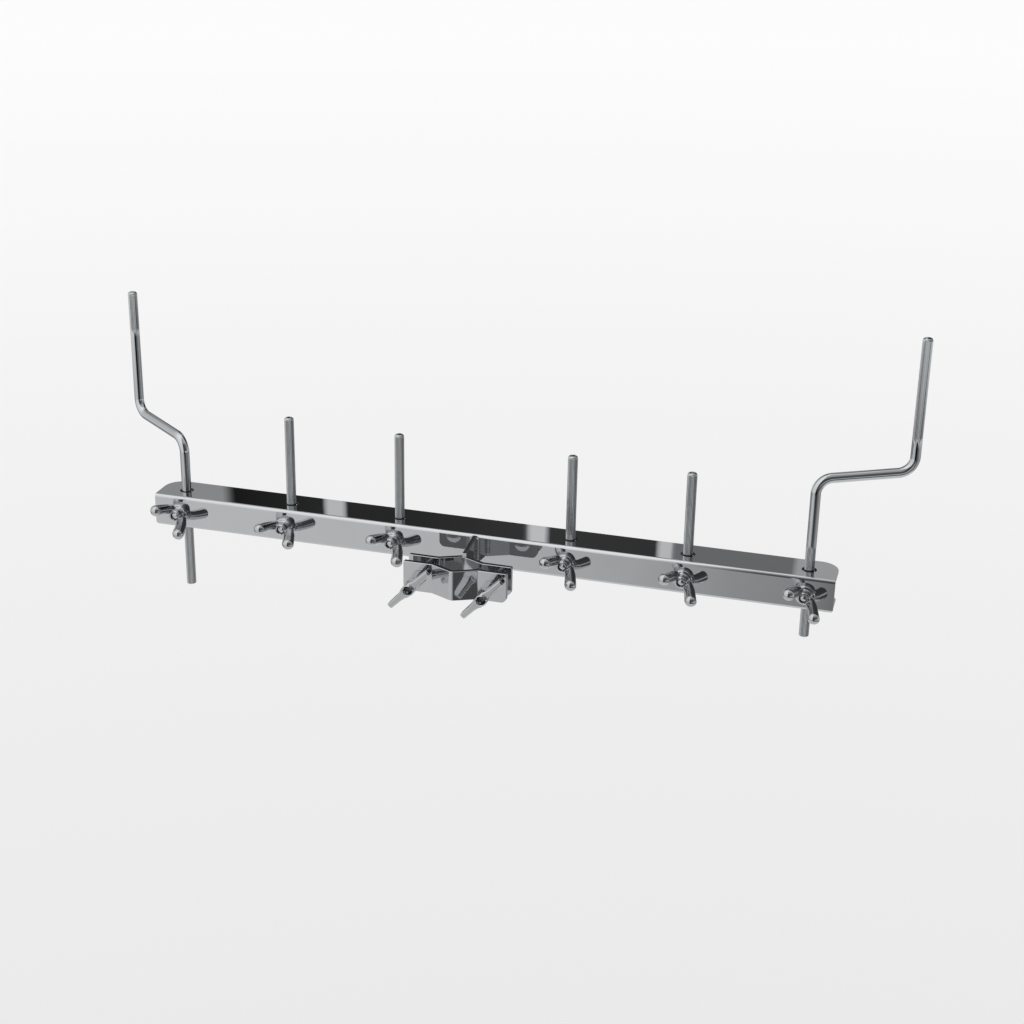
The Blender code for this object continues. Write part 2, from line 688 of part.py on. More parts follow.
def make_clamp_fittings(parts):
    """Bolt, washer and wing nut at each end of the clamp."""
    bolt_source = carriage_bolt("bolt_source", parts)
    washer_source = washer("washer_source", CLAMP_WASHER_DIAMETER, parts)
    hub = nut_hub("nut_source", CLAMP_NUT_BASE_RADIUS, CLAMP_NUT_WAIST_RADIUS,
                  CLAMP_NUT_MOUTH_RADIUS, CLAMP_NUT_HUB_HEIGHT, parts)
    nut_source = wing_nut(hub, clamp_wings(parts), CLAMP_NUT_MOUTH_BORE, CLAMP_NUT_HUB_HEIGHT, parts)
    for label, side, nut_angle in CLAMP_SIDES:
        x = side * CLAMP_BOLT_X
        place_copy("clamp_bolt_" + label, bolt_source, Matrix.Translation((x, 0, 0)) @ FORWARD, parts)
        washer_place = Matrix.Translation((x, -JAW_EAR_FRONT - GAP, 0)) @ FORWARD
        place_copy("clamp_washer_" + label, washer_source, washer_place, parts)
        turn = Matrix.Rotation(math.radians(nut_angle), 4, "Z")
        nut_place = Matrix.Translation((x, -CLAMP_NUT_SEAT, 0)) @ FORWARD @ turn
        place_copy("clamp_wing_nut_" + label, nut_source, nut_place, parts)
    for source in (bolt_source, washer_source, nut_source):
        bpy.data.objects.remove(source, do_unlink=True)


def make_rods(parts):
    """Straight rods at the inner stations and Z-rods at both ends."""
    top = RAIL_TOP_Z - RAIL_MIDDLE_Z + STRAIGHT_ROD_RISE
    bottom = RAIL_BOTTOM_Z - RAIL_MIDDLE_Z - STRAIGHT_ROD_FALL
    for station in STATIONS:
        name = "rod_" + station["name"]
        if "heading" in station:
            rod = z_rod("z_" + name, station["corner_rise"], station["heading"], parts)
        else:
            rod = straight_rod("straight_" + name, top, bottom, parts)
        rod.location = (station_x(station), ROD_Y, RAIL_MIDDLE_Z)
        finish(rod)


def build():
    """Make every piece of the rack."""
    clear_scene()
    parts = new_collection("percussion_rack")
    guides = new_collection("cutters")
    make_rail(parts, guides)
    make_neck(parts)
    make_jaw("rear_jaw", 1, parts, guides)
    make_jaw("front_jaw", -1, parts, guides)
    make_rail_fittings(parts)
    make_clamp_fittings(parts)
    make_rods(parts)


build()
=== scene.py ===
# %% [markdown]
# A percussion rack in bright chrome.
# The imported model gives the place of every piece, and this script gives each one its real
# surface: fine folds, rounded edges, cast fillets, rolled threads and knurled rods.
# A mirror finish shows every facet, so each solid is replaced by a finer mesh.

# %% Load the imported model
import math

import bmesh
import bpy
import numpy as np
from mathutils import Matrix, Vector


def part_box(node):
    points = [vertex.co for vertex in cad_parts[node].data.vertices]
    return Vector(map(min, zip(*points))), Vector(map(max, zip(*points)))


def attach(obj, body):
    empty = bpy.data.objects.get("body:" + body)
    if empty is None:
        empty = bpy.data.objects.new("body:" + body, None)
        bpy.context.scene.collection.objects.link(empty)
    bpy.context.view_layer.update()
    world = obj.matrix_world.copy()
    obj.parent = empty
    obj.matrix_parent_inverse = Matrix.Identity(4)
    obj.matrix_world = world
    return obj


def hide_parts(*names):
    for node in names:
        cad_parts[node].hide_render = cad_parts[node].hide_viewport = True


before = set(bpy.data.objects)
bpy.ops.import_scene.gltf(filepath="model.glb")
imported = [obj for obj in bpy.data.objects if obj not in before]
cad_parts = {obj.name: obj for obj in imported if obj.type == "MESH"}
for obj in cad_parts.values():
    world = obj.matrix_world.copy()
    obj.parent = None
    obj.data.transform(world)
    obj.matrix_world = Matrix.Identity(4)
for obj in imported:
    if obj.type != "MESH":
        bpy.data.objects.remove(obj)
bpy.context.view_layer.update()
MM = 0.001

# %% [markdown]
# The camera comes first, because each later choice is judged through it.
# Its place was found by matching edges of known length, so the lens, height and slight
# roll are taken as they are. A matrix sets it, since the roll is awkward as a track.

# %% Set the camera
SENSOR = 36.0
FOCAL_SHARE = 1820.2 / 1024  # focal length in picture widths
CAMERA_PLACE = Vector((0.5234, -1.6601, 0.7896))
turn, pitch, roll = map(math.radians, (15.67, 22.31, 1.03))  # heading, downward pitch, roll

forward = Vector((-math.sin(turn) * math.cos(pitch), math.cos(turn) * math.cos(pitch), -math.sin(pitch)))
right = Vector((math.cos(turn), math.sin(turn), 0))
up = right.cross(forward)
rolled_right = right * math.cos(roll) + up * math.sin(roll)
rolled_up = up * math.cos(roll) - right * math.sin(roll)
camera_matrix = Matrix((rolled_right, rolled_up, -forward)).transposed().to_4x4()
camera_matrix.translation = CAMERA_PLACE

camera_data = bpy.data.cameras.new("photo_camera")
camera_data.sensor_width = SENSOR
camera_data.lens = FOCAL_SHARE * SENSOR
camera_data.clip_end = 100
camera = bpy.data.objects.new("photo_camera", camera_data)
bpy.context.scene.collection.objects.link(camera)
camera.matrix_world = camera_matrix
bpy.context.scene.camera = camera
bpy.context.scene.view_settings.view_transform = "Standard"
print("lens", round(camera_data.lens, 2), "mm")

# %% [markdown]
# Materials are node trees. One function adds any node with its settings and links, and one
# turns the sRGB hex of a colour, as picked on a screen, into the linear value that a
# shader works in.

# %% Helpers for materials


def linear(code):
    """Linear RGBA of an sRGB hex colour."""
    values = [int(code[i:i + 2], 16) / 255 for i in (1, 3, 5)]
    return tuple(v / 12.92 if v <= 0.04045 else ((v + 0.055) / 1.055) ** 2.4 for v in values) + (1.0,)


def add_node(tree, kind, inputs=None, stops=None, **settings):
    """Add a node: settings are its properties, inputs are values or links, stops are a ramp's."""
    made = tree.nodes.new(kind)
    for key, value in settings.items():
        setattr(made, key, value)
    for socket, value in (inputs or {}).items():
        if isinstance(value, bpy.types.NodeSocket):
            tree.links.new(value, made.inputs[socket])
        else:
            made.inputs[socket].default_value = value
    if stops:
        elements = made.color_ramp.elements
        while len(elements) < len(stops):
            elements.new(0.5)
        for element, (position, shade) in zip(elements, stops):
            element.position = position
            element.color = (shade, shade, shade, 1)
    return made


def new_material(name):
    """An empty node material and its output."""
    material = bpy.data.materials.new(name)
    material.use_nodes = True
    material.node_tree.nodes.clear()
    output = add_node(material.node_tree, "ShaderNodeOutputMaterial")
    return material, material.node_tree, output


print("chrome as linear", [round(v, 3) for v in linear("#C4C6C8")[:3]])

# %% [markdown]
# Chrome plate is bright nickel under a thin flash of chromium. Chromium reflects a little
# over half of the light, evenly, with a cool trace, so its colour is a mid grey and not
# white: what it shows is nearly all its surroundings.
# Polishing leaves a faint orange peel over a few millimetres, and castings keep more of it
# than rolled sheet. Roughness changes softly from place to place, as a wiped surface does.
# Plating hardly reaches into a punched hole, so the walls of the rod holes stay dull, and
# they are painted near black as well: painted shade for the dark gap round each rod.

# %% Chrome finishes
SMEAR_RANGE = (0.3, 0.7)  # the middle of the noise, stretched over the whole roughness
TONE_SPREAD = 0.04  # how far the plating's colour drifts either way


def plated(name, colour, roughness, peel_size, peel_height, smear_size=30 * MM):
    """Chrome plate over a given base: roughness is (low, high), peel is its size and height."""
    material, tree, output = new_material(name)
    place = add_node(tree, "ShaderNodeTexCoord").outputs["Object"]
    smear = add_node(tree, "ShaderNodeTexNoise", {"Vector": place, "Scale": 1 / smear_size, "Detail": 3.0})
    rough = add_node(tree, "ShaderNodeMapRange", {
        "Value": smear.outputs["Fac"], "From Min": SMEAR_RANGE[0], "From Max": SMEAR_RANGE[1],
        "To Min": roughness[0], "To Max": roughness[1]})
    tone = add_node(tree, "ShaderNodeValToRGB", {"Fac": smear.outputs["Fac"]})
    for element, share in zip(tone.color_ramp.elements, (1 - TONE_SPREAD, 1 + TONE_SPREAD)):
        element.color = [v * share for v in linear(colour)[:3]] + [1]
    peel = add_node(tree, "ShaderNodeTexNoise", {"Vector": place, "Scale": 1 / peel_size, "Detail": 1.0})
    bump = add_node(tree, "ShaderNodeBump", {
        "Height": peel.outputs["Fac"], "Strength": 1.0, "Distance": peel_height})
    shader = add_node(tree, "ShaderNodeBsdfPrincipled", {
        "Base Color": tone.outputs["Color"], "Metallic": 1.0, "Roughness": rough.outputs["Result"],
        "Normal": bump.outputs["Normal"]})
    tree.links.new(shader.outputs["BSDF"], output.inputs["Surface"])
    return material


sheet_chrome = plated("chrome_on_folded_sheet_steel", "#C6C8CA", (0.01, 0.022), 14 * MM, 0.004 * MM)
plate_chrome = plated("chrome_on_pressed_steel_plate", "#C2C4C6", (0.03, 0.11), 7 * MM, 0.016 * MM, 16 * MM)
cast_chrome = plated("chrome_on_zinc_casting", "#B8BABC", (0.04, 0.08), 3.5 * MM, 0.03 * MM, 12 * MM)
rod_chrome = plated("chrome_on_drawn_steel_rod", "#C4C7C9", (0.03, 0.06), 8 * MM, 0.004 * MM)
screw_chrome = plated("chrome_on_rolled_thread_steel", "#BCBEC1", (0.07, 0.12), 3 * MM, 0.01 * MM, 8 * MM)
weld_chrome = plated("chrome_over_weld_bead", "#A8AAAC", (0.20, 0.30), 2 * MM, 0.03 * MM, 8 * MM)
# Painted shade: this near-black finish on the rod holes' walls stands for the dark gap round each rod.
hole_plating_with_painted_shade = plated("dull_hole_plating_with_painted_shade", "#3E3F41", (0.32, 0.42), 2 * MM, 0.02 * MM, 8 * MM)
print("base finish", sheet_chrome.name, "and darkest finish", hole_plating_with_painted_shade.name)

# %% [markdown]
# Shapes are made with a few plain tools. A slab is an outline pushed up to a thickness, and
# a lathe turns a profile. Both could be modifiers, but meshes are easier to join.

# %% Slab and lathe
MERGE = 0.001 * MM  # points nearer than this are one


def add_object(name, mesh):
    """Link a mesh to the scene as a new object."""
    item = bpy.data.objects.new(name, mesh)
    bpy.context.scene.collection.objects.link(item)
    return item


def store(name, work):
    """Close a bmesh and return it as a mesh with outward normals."""
    bmesh.ops.recalc_face_normals(work, faces=work.faces)
    mesh = bpy.data.meshes.new(name)
    work.to_mesh(mesh)
    work.free()
    mesh.shade_smooth()
    return mesh


def slab(name, outline, low, high):
    """An outline in XY as a solid between two heights."""
    work = bmesh.new()
    base = work.faces.new([work.verts.new((x, y, low)) for x, y in outline])
    grown = bmesh.ops.extrude_face_region(work, geom=[base])["geom"]
    top = [part for part in grown if isinstance(part, bmesh.types.BMVert)]
    bmesh.ops.translate(work, verts=top, vec=(0, 0, high - low))
    return store(name, work)


def lathe(name, profile, steps=72, ring=False):
    """A (radius, height) profile turned round Z. A ring's profile closes on itself."""
    work = bmesh.new()
    verts = [work.verts.new((radius, 0, height)) for radius, height in profile]
    pairs = list(zip(verts, verts[1:])) + ([(verts[-1], verts[0])] if ring else [])
    edges = [work.edges.new(pair) for pair in pairs]
    bmesh.ops.spin(work, geom=verts + edges, cent=(0, 0, 0), axis=(0, 0, 1), angle=2 * math.pi,
                   steps=steps, use_merge=True)
    bmesh.ops.remove_doubles(work, verts=work.verts, dist=MERGE)
    return store(name, work)


def moved(mesh, matrix):
    """Move a mesh inside its object."""
    mesh.transform(matrix)
    mesh.update()
    return mesh


def gathered(name, meshes):
    """Several meshes in one."""
    work = bmesh.new()
    for mesh in meshes:
        work.from_mesh(mesh)
    return store(name, work)


print("slab and lathe ready")

# %% [markdown]
# Cutting and easing are modifiers that are settled into the mesh at once. The bevel rounds
# an edge, and weighted normals then keep the flat faces flat: without them a mirror finish
# would show a soft pillow where the real sheet is straight.

# %% Cut and ease


def settle(item):
    """Turn an object's modifiers into its mesh."""
    bpy.context.view_layer.update()
    shaped = item.evaluated_get(bpy.context.evaluated_depsgraph_get())
    mesh = bpy.data.meshes.new_from_object(shaped)
    item.modifiers.clear()
    item.data = mesh
    return item


def carve(item, mesh, operation="DIFFERENCE"):
    """Cut a solid with another, or keep what they share."""
    tool = add_object("tool", mesh)
    modifier = item.modifiers.new("carve", "BOOLEAN")
    modifier.operation = operation
    modifier.solver = "EXACT"
    modifier.object = tool
    settle(item)
    bpy.data.objects.remove(tool, do_unlink=True)
    return item


def ease_edges(item, width, segments=2, angle=32):
    """Round the sharp edges and keep the flat faces flat."""
    bevel = item.modifiers.new("edges", "BEVEL")
    bevel.width = width
    bevel.segments = segments
    bevel.limit_method = "ANGLE"
    bevel.angle_limit = math.radians(angle)
    bevel.use_clamp_overlap = True
    settle(item)
    item.data.shade_smooth()
    flat = item.modifiers.new("flat", "WEIGHTED_NORMAL")
    flat.mode = "FACE_AREA"
    flat.weight = 50
    return settle(item)


def taken(item):
    """The mesh of a finished workpiece, whose object isn't needed any more."""
    mesh = item.data
    bpy.data.objects.remove(item, do_unlink=True)
    return mesh


print("cutting and easing ready")

# %% [markdown]
# Outlines come from arcs and straight runs, as on a workshop drawing. A folded part is a
# path with rounded corners, widened to the thickness of its sheet.

# %% Outlines


def arc(centre, radius, start, end, steps):
    """Points of an arc, angles in degrees."""
    angles = [math.radians(start + (end - start) * i / steps) for i in range(steps + 1)]
    return [(centre[0] + radius * math.cos(a), centre[1] + radius * math.sin(a)) for a in angles]


def rounded_path(corners, radius, steps):
    """A path through the corners with each inner corner bent to an arc."""
    corners = [Vector(corner) for corner in corners]
    path = [corners[0]]
    for before, corner, after in zip(corners, corners[1:], corners[2:]):
        into = (corner - before).normalized()
        out = (after - corner).normalized()
        turn = into.angle(out)
        start = corner - into * radius * math.tan(turn / 2)
        side = (out - into * into.dot(out)).normalized()
        centre = start + side * radius
        for i in range(steps + 1):
            angle = turn * i / steps
            path.append(centre - side * radius * math.cos(angle) + into * radius * math.sin(angle))
    path.append(corners[-1])
    return path


def strip(path, width):
    """Outline of a strip of even width along a flat path."""
    left, right = [], []
    last = len(path) - 1
    for i, point in enumerate(path):
        along = (path[min(i + 1, last)] - path[max(i - 1, 0)]).normalized()
        across = Vector((-along.y, along.x)) * width / 2
        left.append(tuple(point + across))
        right.append(tuple(point - across))
    return left + right[::-1]


def both_sides(outline):
    """An outline of the right-hand half with its mirror image."""
    return outline + [(-x, y) for x, y in reversed(outline)]


print("outlines ready")

# %% [markdown]
# Each piece then goes onto the body that it moves with, and stands for its CAD solid.

# %% Fit a piece to the frame
HERE = Matrix.Identity(4)
FORWARD = Matrix.Rotation(math.radians(90), 4, "X")  # local +Z to the rack's front
ALONG_X = Matrix(((0, 0, 1, 0), (1, 0, 0, 0), (0, 1, 0, 0), (0, 0, 0, 1)))  # local +Z to +X
HALF_TURN = Matrix.Rotation(math.radians(180), 4, "Z")


def fit(name, mesh, place, body, nodes, material):
    """Add a piece, give it its finish and tie it to the frame."""
    item = add_object(name, mesh)
    item.matrix_world = place
    if not mesh.materials:
        mesh.materials.append(material)
    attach(item, body)
    if nodes:
        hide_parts(*nodes)
    return item


print("fit ready")

# %% [markdown]
# The rail is 2.5 mm sheet folded to a channel that opens to the rear, with the rear corners
# of both flanges cut round. It could be swept, but its round corners and punched holes are
# easier as cuts, as they are in the press. Its size is read from the solid's own box.

# %% Fold the rail
SHEET = 2.5 * MM
FOLD = 3.5 * MM  # outer radius of the two folds
PUNCHED_EDGE = 0.35 * MM
FLANGE_CORNER = 20 * MM
END_CORNER = 4.5 * MM

rail_low, rail_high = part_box("rail")
rail_middle = (rail_low + rail_high) / 2

fold_y = rail_low.y + FOLD
past_y = rail_high.y + FOLD
upper_fold, lower_fold = (fold_y, rail_high.z - FOLD), (fold_y, rail_low.z + FOLD)
section = [(past_y, rail_high.z)]
section += arc(upper_fold, FOLD, 90, 180, 20)
section += arc(lower_fold, FOLD, 180, 270, 20)
section += [(past_y, rail_low.z), (past_y, rail_low.z + SHEET)]
section += arc(lower_fold, FOLD - SHEET, 270, 180, 8)
section += arc(upper_fold, FOLD - SHEET, 180, 90, 8)
section += [(past_y, rail_high.z - SHEET)]
rail_blank = slab("rail", section, rail_low.x - FOLD, rail_high.x + FOLD)
rail = add_object("rail_blank", moved(rail_blank, ALONG_X))

plan = [(rail_low.x, rail_low.y - FOLD), (rail_high.x, rail_low.y - FOLD)]
plan += arc((rail_high.x - FLANGE_CORNER, rail_high.y - FLANGE_CORNER), FLANGE_CORNER, 0, 90, 32)
plan += arc((rail_low.x + FLANGE_CORNER, rail_high.y - FLANGE_CORNER), FLANGE_CORNER, 90, 180, 32)
carve(rail, slab("plan", plan, rail_low.z - FOLD, rail_high.z + FOLD), "INTERSECT")

front = [(rail_high.x, rail_high.z + FOLD), (rail_low.x, rail_high.z + FOLD)]
front += arc((rail_low.x + END_CORNER, rail_low.z + END_CORNER), END_CORNER, 180, 270, 12)
front += arc((rail_high.x - END_CORNER, rail_low.z + END_CORNER), END_CORNER, 270, 360, 12)
carve(rail, moved(slab("front", front, -rail_high.y - FOLD, -rail_low.y + FOLD), FORWARD), "INTERSECT")
print("rail", round((rail_high.x - rail_low.x) / MM), "mm long")

# %% [markdown]
# Six rods pass through both flanges, and six eye bolts through the web. A punch draws the
# metal in before it shears, so the mouth of each rod hole is slightly dished. Dish and wall
# take a dull, near-black finish: thin plating, darkened further as painted shade for the gap
# round each rod. They are found by their distance from a rod, and the large flat faces of
# the flanges are told apart by their area.

# %% Punch the rail
ROD_SET_BACK = 20.5 * MM  # rod axis behind the rail's front
HALF_TRAVEL = 0.625 * MM  # the holes sit half of an eye bolt's travel behind the rods
HOLE_RADIUS = 6.2 * MM
HOLE_MOUTH = 7.9 * MM
MOUTH_DEPTH = 0.35 * MM
SCREW_HOLE = 4.3 * MM
FAR_BELOW = -1.0  # a rod hole is cut through both flanges at once
STATIONS = range(1, 7)

station_x = {n: sum(v.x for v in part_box(f"eye_bolt_{n}")) / 2 for n in STATIONS}
ROD_Y = rail_low.y + ROD_SET_BACK
HOLE_Y = ROD_Y + HALF_TRAVEL
mouth_foot, mouth_top = rail_high.z - MOUTH_DEPTH, rail_high.z + MOUTH_DEPTH
rod_punch = [(0, FAR_BELOW), (HOLE_RADIUS, FAR_BELOW), (HOLE_RADIUS, mouth_foot),
             (2 * HOLE_MOUTH - HOLE_RADIUS, mouth_top), (0, mouth_top)]
screw_punch = [(0, -FOLD), (SCREW_HOLE, -FOLD), (SCREW_HOLE, FOLD), (0, FOLD)]
holes = []
for x in station_x.values():
    holes.append(moved(lathe("rod_hole", rod_punch, 64), Matrix.Translation((x, HOLE_Y, 0))))
    in_web = Matrix.Translation((x, rail_low.y, rail_middle.z)) @ FORWARD
    holes.append(moved(lathe("screw_hole", screw_punch, 48), in_web))
carve(rail, gathered("holes", holes))
rail_mesh = taken(ease_edges(rail, PUNCHED_EDGE))

rail_mesh.materials.append(sheet_chrome)
rail_mesh.materials.append(hole_plating_with_painted_shade)
# Faces round each rod hole get the near-black finish, painted shade for the gap round the rod.
for face in rail_mesh.polygons:
    reach = min(math.hypot(face.center.x - x, face.center.y - HOLE_Y) for x in station_x.values())
    if reach < HOLE_MOUTH + PUNCHED_EDGE and face.area < HOLE_MOUTH ** 2:
        face.material_index = 1
fit("folded_rail", rail_mesh, HERE, "rack", ["rail"], sheet_chrome)
print("rail", len(rail_mesh.polygons), "faces,", len(holes), "punched holes")

# %% [markdown]
# Both clamp jaws are the same pressed plate: two ears with bolt holes and a vee between
# them. The rear one faces forward, the front one is turned half round. Punching leaves
# nearly square top corners, and the lower corners are cut round.

# %% Clamp jaws
TUBE_RADIUS = 15.875 * MM
GAP = 0.3 * MM
JAW_SHEET = 5 * MM
JAW_HALF = 56.5 * MM
VEE_HALF = 24.3 * MM
VEE_ANGLE = math.radians(25.7)
JAW_FOLD = 5.5 * MM
JAW_EDGE = 0.6 * MM
JAW_CORNERS = {1: 1.2 * MM, -1: 6.5 * MM}  # top, bottom
BOLT_X = 39.4 * MM

jaw_half_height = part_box("rear_jaw")[1].z
jaw_apex = (TUBE_RADIUS + GAP + JAW_SHEET / 2) / math.cos(VEE_ANGLE)
jaw_ear = jaw_apex - VEE_HALF * math.tan(VEE_ANGLE)

right_half = [(JAW_HALF, jaw_ear), (VEE_HALF, jaw_ear)]
corners = [(-x, y) for x, y in right_half] + [(0, jaw_apex)] + right_half[::-1]
jaw_outline = strip(rounded_path(corners, JAW_FOLD, 14), JAW_SHEET)
jaw = add_object("jaw_blank", slab("pressed_jaw", jaw_outline, -jaw_half_height, jaw_half_height))
jaw_face = []
for right, up, start in ((1, 1, 0), (-1, 1, 90), (-1, -1, 180), (1, -1, 270)):
    radius = JAW_CORNERS[up]
    centre = (right * (JAW_HALF - radius), up * (jaw_half_height - radius))
    jaw_face += arc(centre, radius, start, start + 90, 10)
carve(jaw, moved(slab("trim", jaw_face, -2 * jaw_apex, 2 * jaw_apex), FORWARD), "INTERSECT")
punch = [(0, -JAW_SHEET), (SCREW_HOLE, -JAW_SHEET), (SCREW_HOLE, JAW_SHEET), (0, JAW_SHEET)]
ear_holes = [moved(lathe("hole", punch, 48), Matrix.Translation((side * BOLT_X, jaw_ear, 0)) @ FORWARD)
             for side in (-1, 1)]
carve(jaw, gathered("holes", ear_holes))
pressed_jaw = taken(ease_edges(jaw, JAW_EDGE, 3))
fit("pressed_rear_jaw", pressed_jaw, HERE, "rack", ["rear_jaw"], plate_chrome)
fit("pressed_front_jaw", pressed_jaw, HALF_TURN, "front_jaw", ["front_jaw"], plate_chrome)
print("jaw", len(pressed_jaw.polygons), "faces")

# %% [markdown]
# The neck is a plate on edge between the rail and the rear jaw, welded on both sides. Its
# top edge falls from the rail to the jaw, so its side is a plain outline with a thickness.

# %% Neck
NECK_SHEET = 5 * MM
NECK_HEIGHT = 33 * MM
NECK_EDGE = 0.5 * MM
NECK_ABOVE_JAW = 1.9 * MM  # its top edge over the jaw's
NECK_GAP = 0.02 * MM
NECK_SINK = 1.2 * MM  # how far it reaches into the back of the vee

neck_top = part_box("clamp_neck")[1].z
jaw_back = jaw_apex + JAW_SHEET / 2 / math.cos(VEE_ANGLE)
neck_back = rail_low.y - NECK_GAP
neck_front = jaw_back - NECK_SINK
front_top = jaw_half_height + NECK_ABOVE_JAW
front_foot, back_foot = front_top - NECK_HEIGHT, neck_top - NECK_HEIGHT
neck_side = [(neck_front, front_top), (neck_front, front_foot), (neck_back, back_foot), (neck_back, neck_top)]
neck_blank = moved(slab("neck", neck_side, -NECK_SHEET / 2, NECK_SHEET / 2), ALONG_X)
neck_mesh = taken(ease_edges(add_object("neck_blank", neck_blank), NECK_EDGE, 3))
fit("neck_plate", neck_mesh, HERE, "rack", ["clamp_neck"], plate_chrome)
print("neck", len(neck_mesh.polygons), "faces")

# %% [markdown]
# A weld is a row of small overlapping ripples. The beads are their own piece: a rounded
# fillet whose size swells a little every 1.8 mm and wanders over longer runs. The plating
# fills most of each ripple, and a deeper one would look like a string of beads.

# %% Weld beads
WELD_LEG = 3.2 * MM
WELD_RIPPLE = 1.8 * MM
RINGS_PER_RIPPLE = 8
RIPPLE_SWELL = 0.006  # shares of the leg
WANDER_SWELL = 0.03
WANDER_RATE = 0.6  # radians of wander for each ripple
WELD_BULGE = 0.3248
WELD_END = 0.25  # share of the leg at the very end of a bead
WELD_TAPER = 1.5 * MM
WELD_ROOT = 0.4 * MM  # how far the root lies inside the plates
WELD_ACROSS = 8


def weld_bead(name, corner, first, second, low, high, seed):
    """A rippled fillet along Z, in the corner between two directions."""
    steps = int((high - low) / (WELD_RIPPLE / RINGS_PER_RIPPLE))
    root = (first + second) * -WELD_ROOT
    work = bmesh.new()
    rings = []
    for i in range(steps + 1):
        z = low + (high - low) * i / steps
        phase = z / WELD_RIPPLE + seed
        ripple, wander = math.sin(2 * math.pi * phase), math.sin(WANDER_RATE * phase)
        swell = 1 + RIPPLE_SWELL * ripple + WANDER_SWELL * wander
        inside = math.sqrt(max(0.0, min(1.0, min(z - low, high - z) / WELD_TAPER)))
        leg = WELD_LEG * swell * (WELD_END + (1 - WELD_END) * inside)
        points = []
        for j in range(WELD_ACROSS + 1):
            share = j / WELD_ACROSS
            bulge = WELD_BULGE * math.sin(math.pi * share)
            points.append(first * leg * (1 - share + bulge) + second * leg * (share + bulge))
        points.append(root)
        rings.append([work.verts.new(corner + Vector((point.x, point.y, z))) for point in points])
    for lower, upper in zip(rings, rings[1:]):
        for j in range(len(lower)):
            k = (j + 1) % len(lower)
            work.faces.new((lower[j], lower[k], upper[k], upper[j]))
    work.faces.new(rings[0])
    work.faces.new(rings[-1])
    return store(name, work)


beads = []
for side_sign in (-1, 1):
    skin_x = side_sign * NECK_SHEET / 2
    at_rail = Vector((skin_x, neck_back, 0))
    beads.append(weld_bead("bead", at_rail, Vector((side_sign, 0)), Vector((0, -1)),
                           back_foot + 1 * MM, neck_top - 1.5 * MM, 0.3))
    at_jaw = Vector((skin_x, jaw_back - NECK_SHEET / 2 * math.tan(VEE_ANGLE), 0))
    slope = Vector((side_sign * math.cos(VEE_ANGLE), -math.sin(VEE_ANGLE)))
    beads.append(weld_bead("bead", at_jaw, slope, Vector((0, 1)),
                           front_foot + 1 * MM, jaw_half_height - 0.8 * MM, 0.7))
weld_mesh = gathered("neck_welds", beads)
fit("neck_weld_beads", weld_mesh, HERE, "rack", [], weld_chrome)
print("welds", len(weld_mesh.polygons), "faces")

# %% [markdown]
# Threads are rolled M8 with a 1.25 mm pitch. A screw modifier could turn them, but a grid
# of rings whose radius follows the helix gives a clean point at the chamfer too: each
# vertex asks how far it is from the crest and sinks by that much.

# %% Threaded shank
PITCH = 1.25 * MM
MAJOR = 4.0 * MM  # outer radius of the thread
THREAD_DEPTH = 0.7 * MM
THREAD_AROUND = 40
RINGS_PER_TURN = 8
FLANK_SLOPE, CREST_FLAT = 2.6, 0.25
THREAD_POINT = 0.9 * MM  # chamfer at the end of the thread
POINT_DISH = 0.15 * MM


def threaded(name, low, high):
    """A thread along +Z between two heights, with a chamfered point at the top."""
    rings = int(math.ceil((high - low) / PITCH * RINGS_PER_TURN))
    work = bmesh.new()
    rows = []
    for i in range(rings + 1):
        z = low + (high - low) * i / rings
        row = []
        for j in range(THREAD_AROUND):
            turn = j / THREAD_AROUND
            angle = 2 * math.pi * turn
            phase = (z / PITCH - turn) % 1.0
            sunk = min(1.0, max(0.0, abs(phase - 0.5) * FLANK_SLOPE - CREST_FLAT))
            radius = min(MAJOR - THREAD_DEPTH * sunk, MAJOR - THREAD_POINT + (high - z))
            row.append(work.verts.new((radius * math.cos(angle), radius * math.sin(angle), z)))
        rows.append(row)
    for lower, upper in zip(rows, rows[1:]):
        for j in range(THREAD_AROUND):
            k = (j + 1) % THREAD_AROUND
            work.faces.new((lower[j], lower[k], upper[k], upper[j]))
    work.faces.new(rows[0])
    tip = work.verts.new((0, 0, high - POINT_DISH))
    for j in range(THREAD_AROUND):
        work.faces.new((rows[-1][j], rows[-1][(j + 1) % THREAD_AROUND], tip))
    return store(name, work)


print("thread pitch", PITCH / MM, "mm")

# %% [markdown]
# An eye bolt holds each rod: a forged ring inside the channel and a shank through the web.
# Tightening its wing nut pulls the ring forward and wedges the rod against the flanges.
# The ring is turned from a rounded section, and a collar joins it to the thread.

# %% Eye bolts
ROD_RADIUS = 5.25 * MM
EYE_BORE = ROD_RADIUS + GAP
EYE_OUTER = 10.5 * MM
EYE_HALF = 4.5 * MM
EYE_ROUND = 1.7 * MM
EYE_BEVEL = 0.4 * MM
COLLAR_RADIUS = 4.3 * MM
COLLAR_FROM, COLLAR_TO, COLLAR_END = 7 * MM, 10.6 * MM, 11.8 * MM
THREAD_FROM = 11 * MM

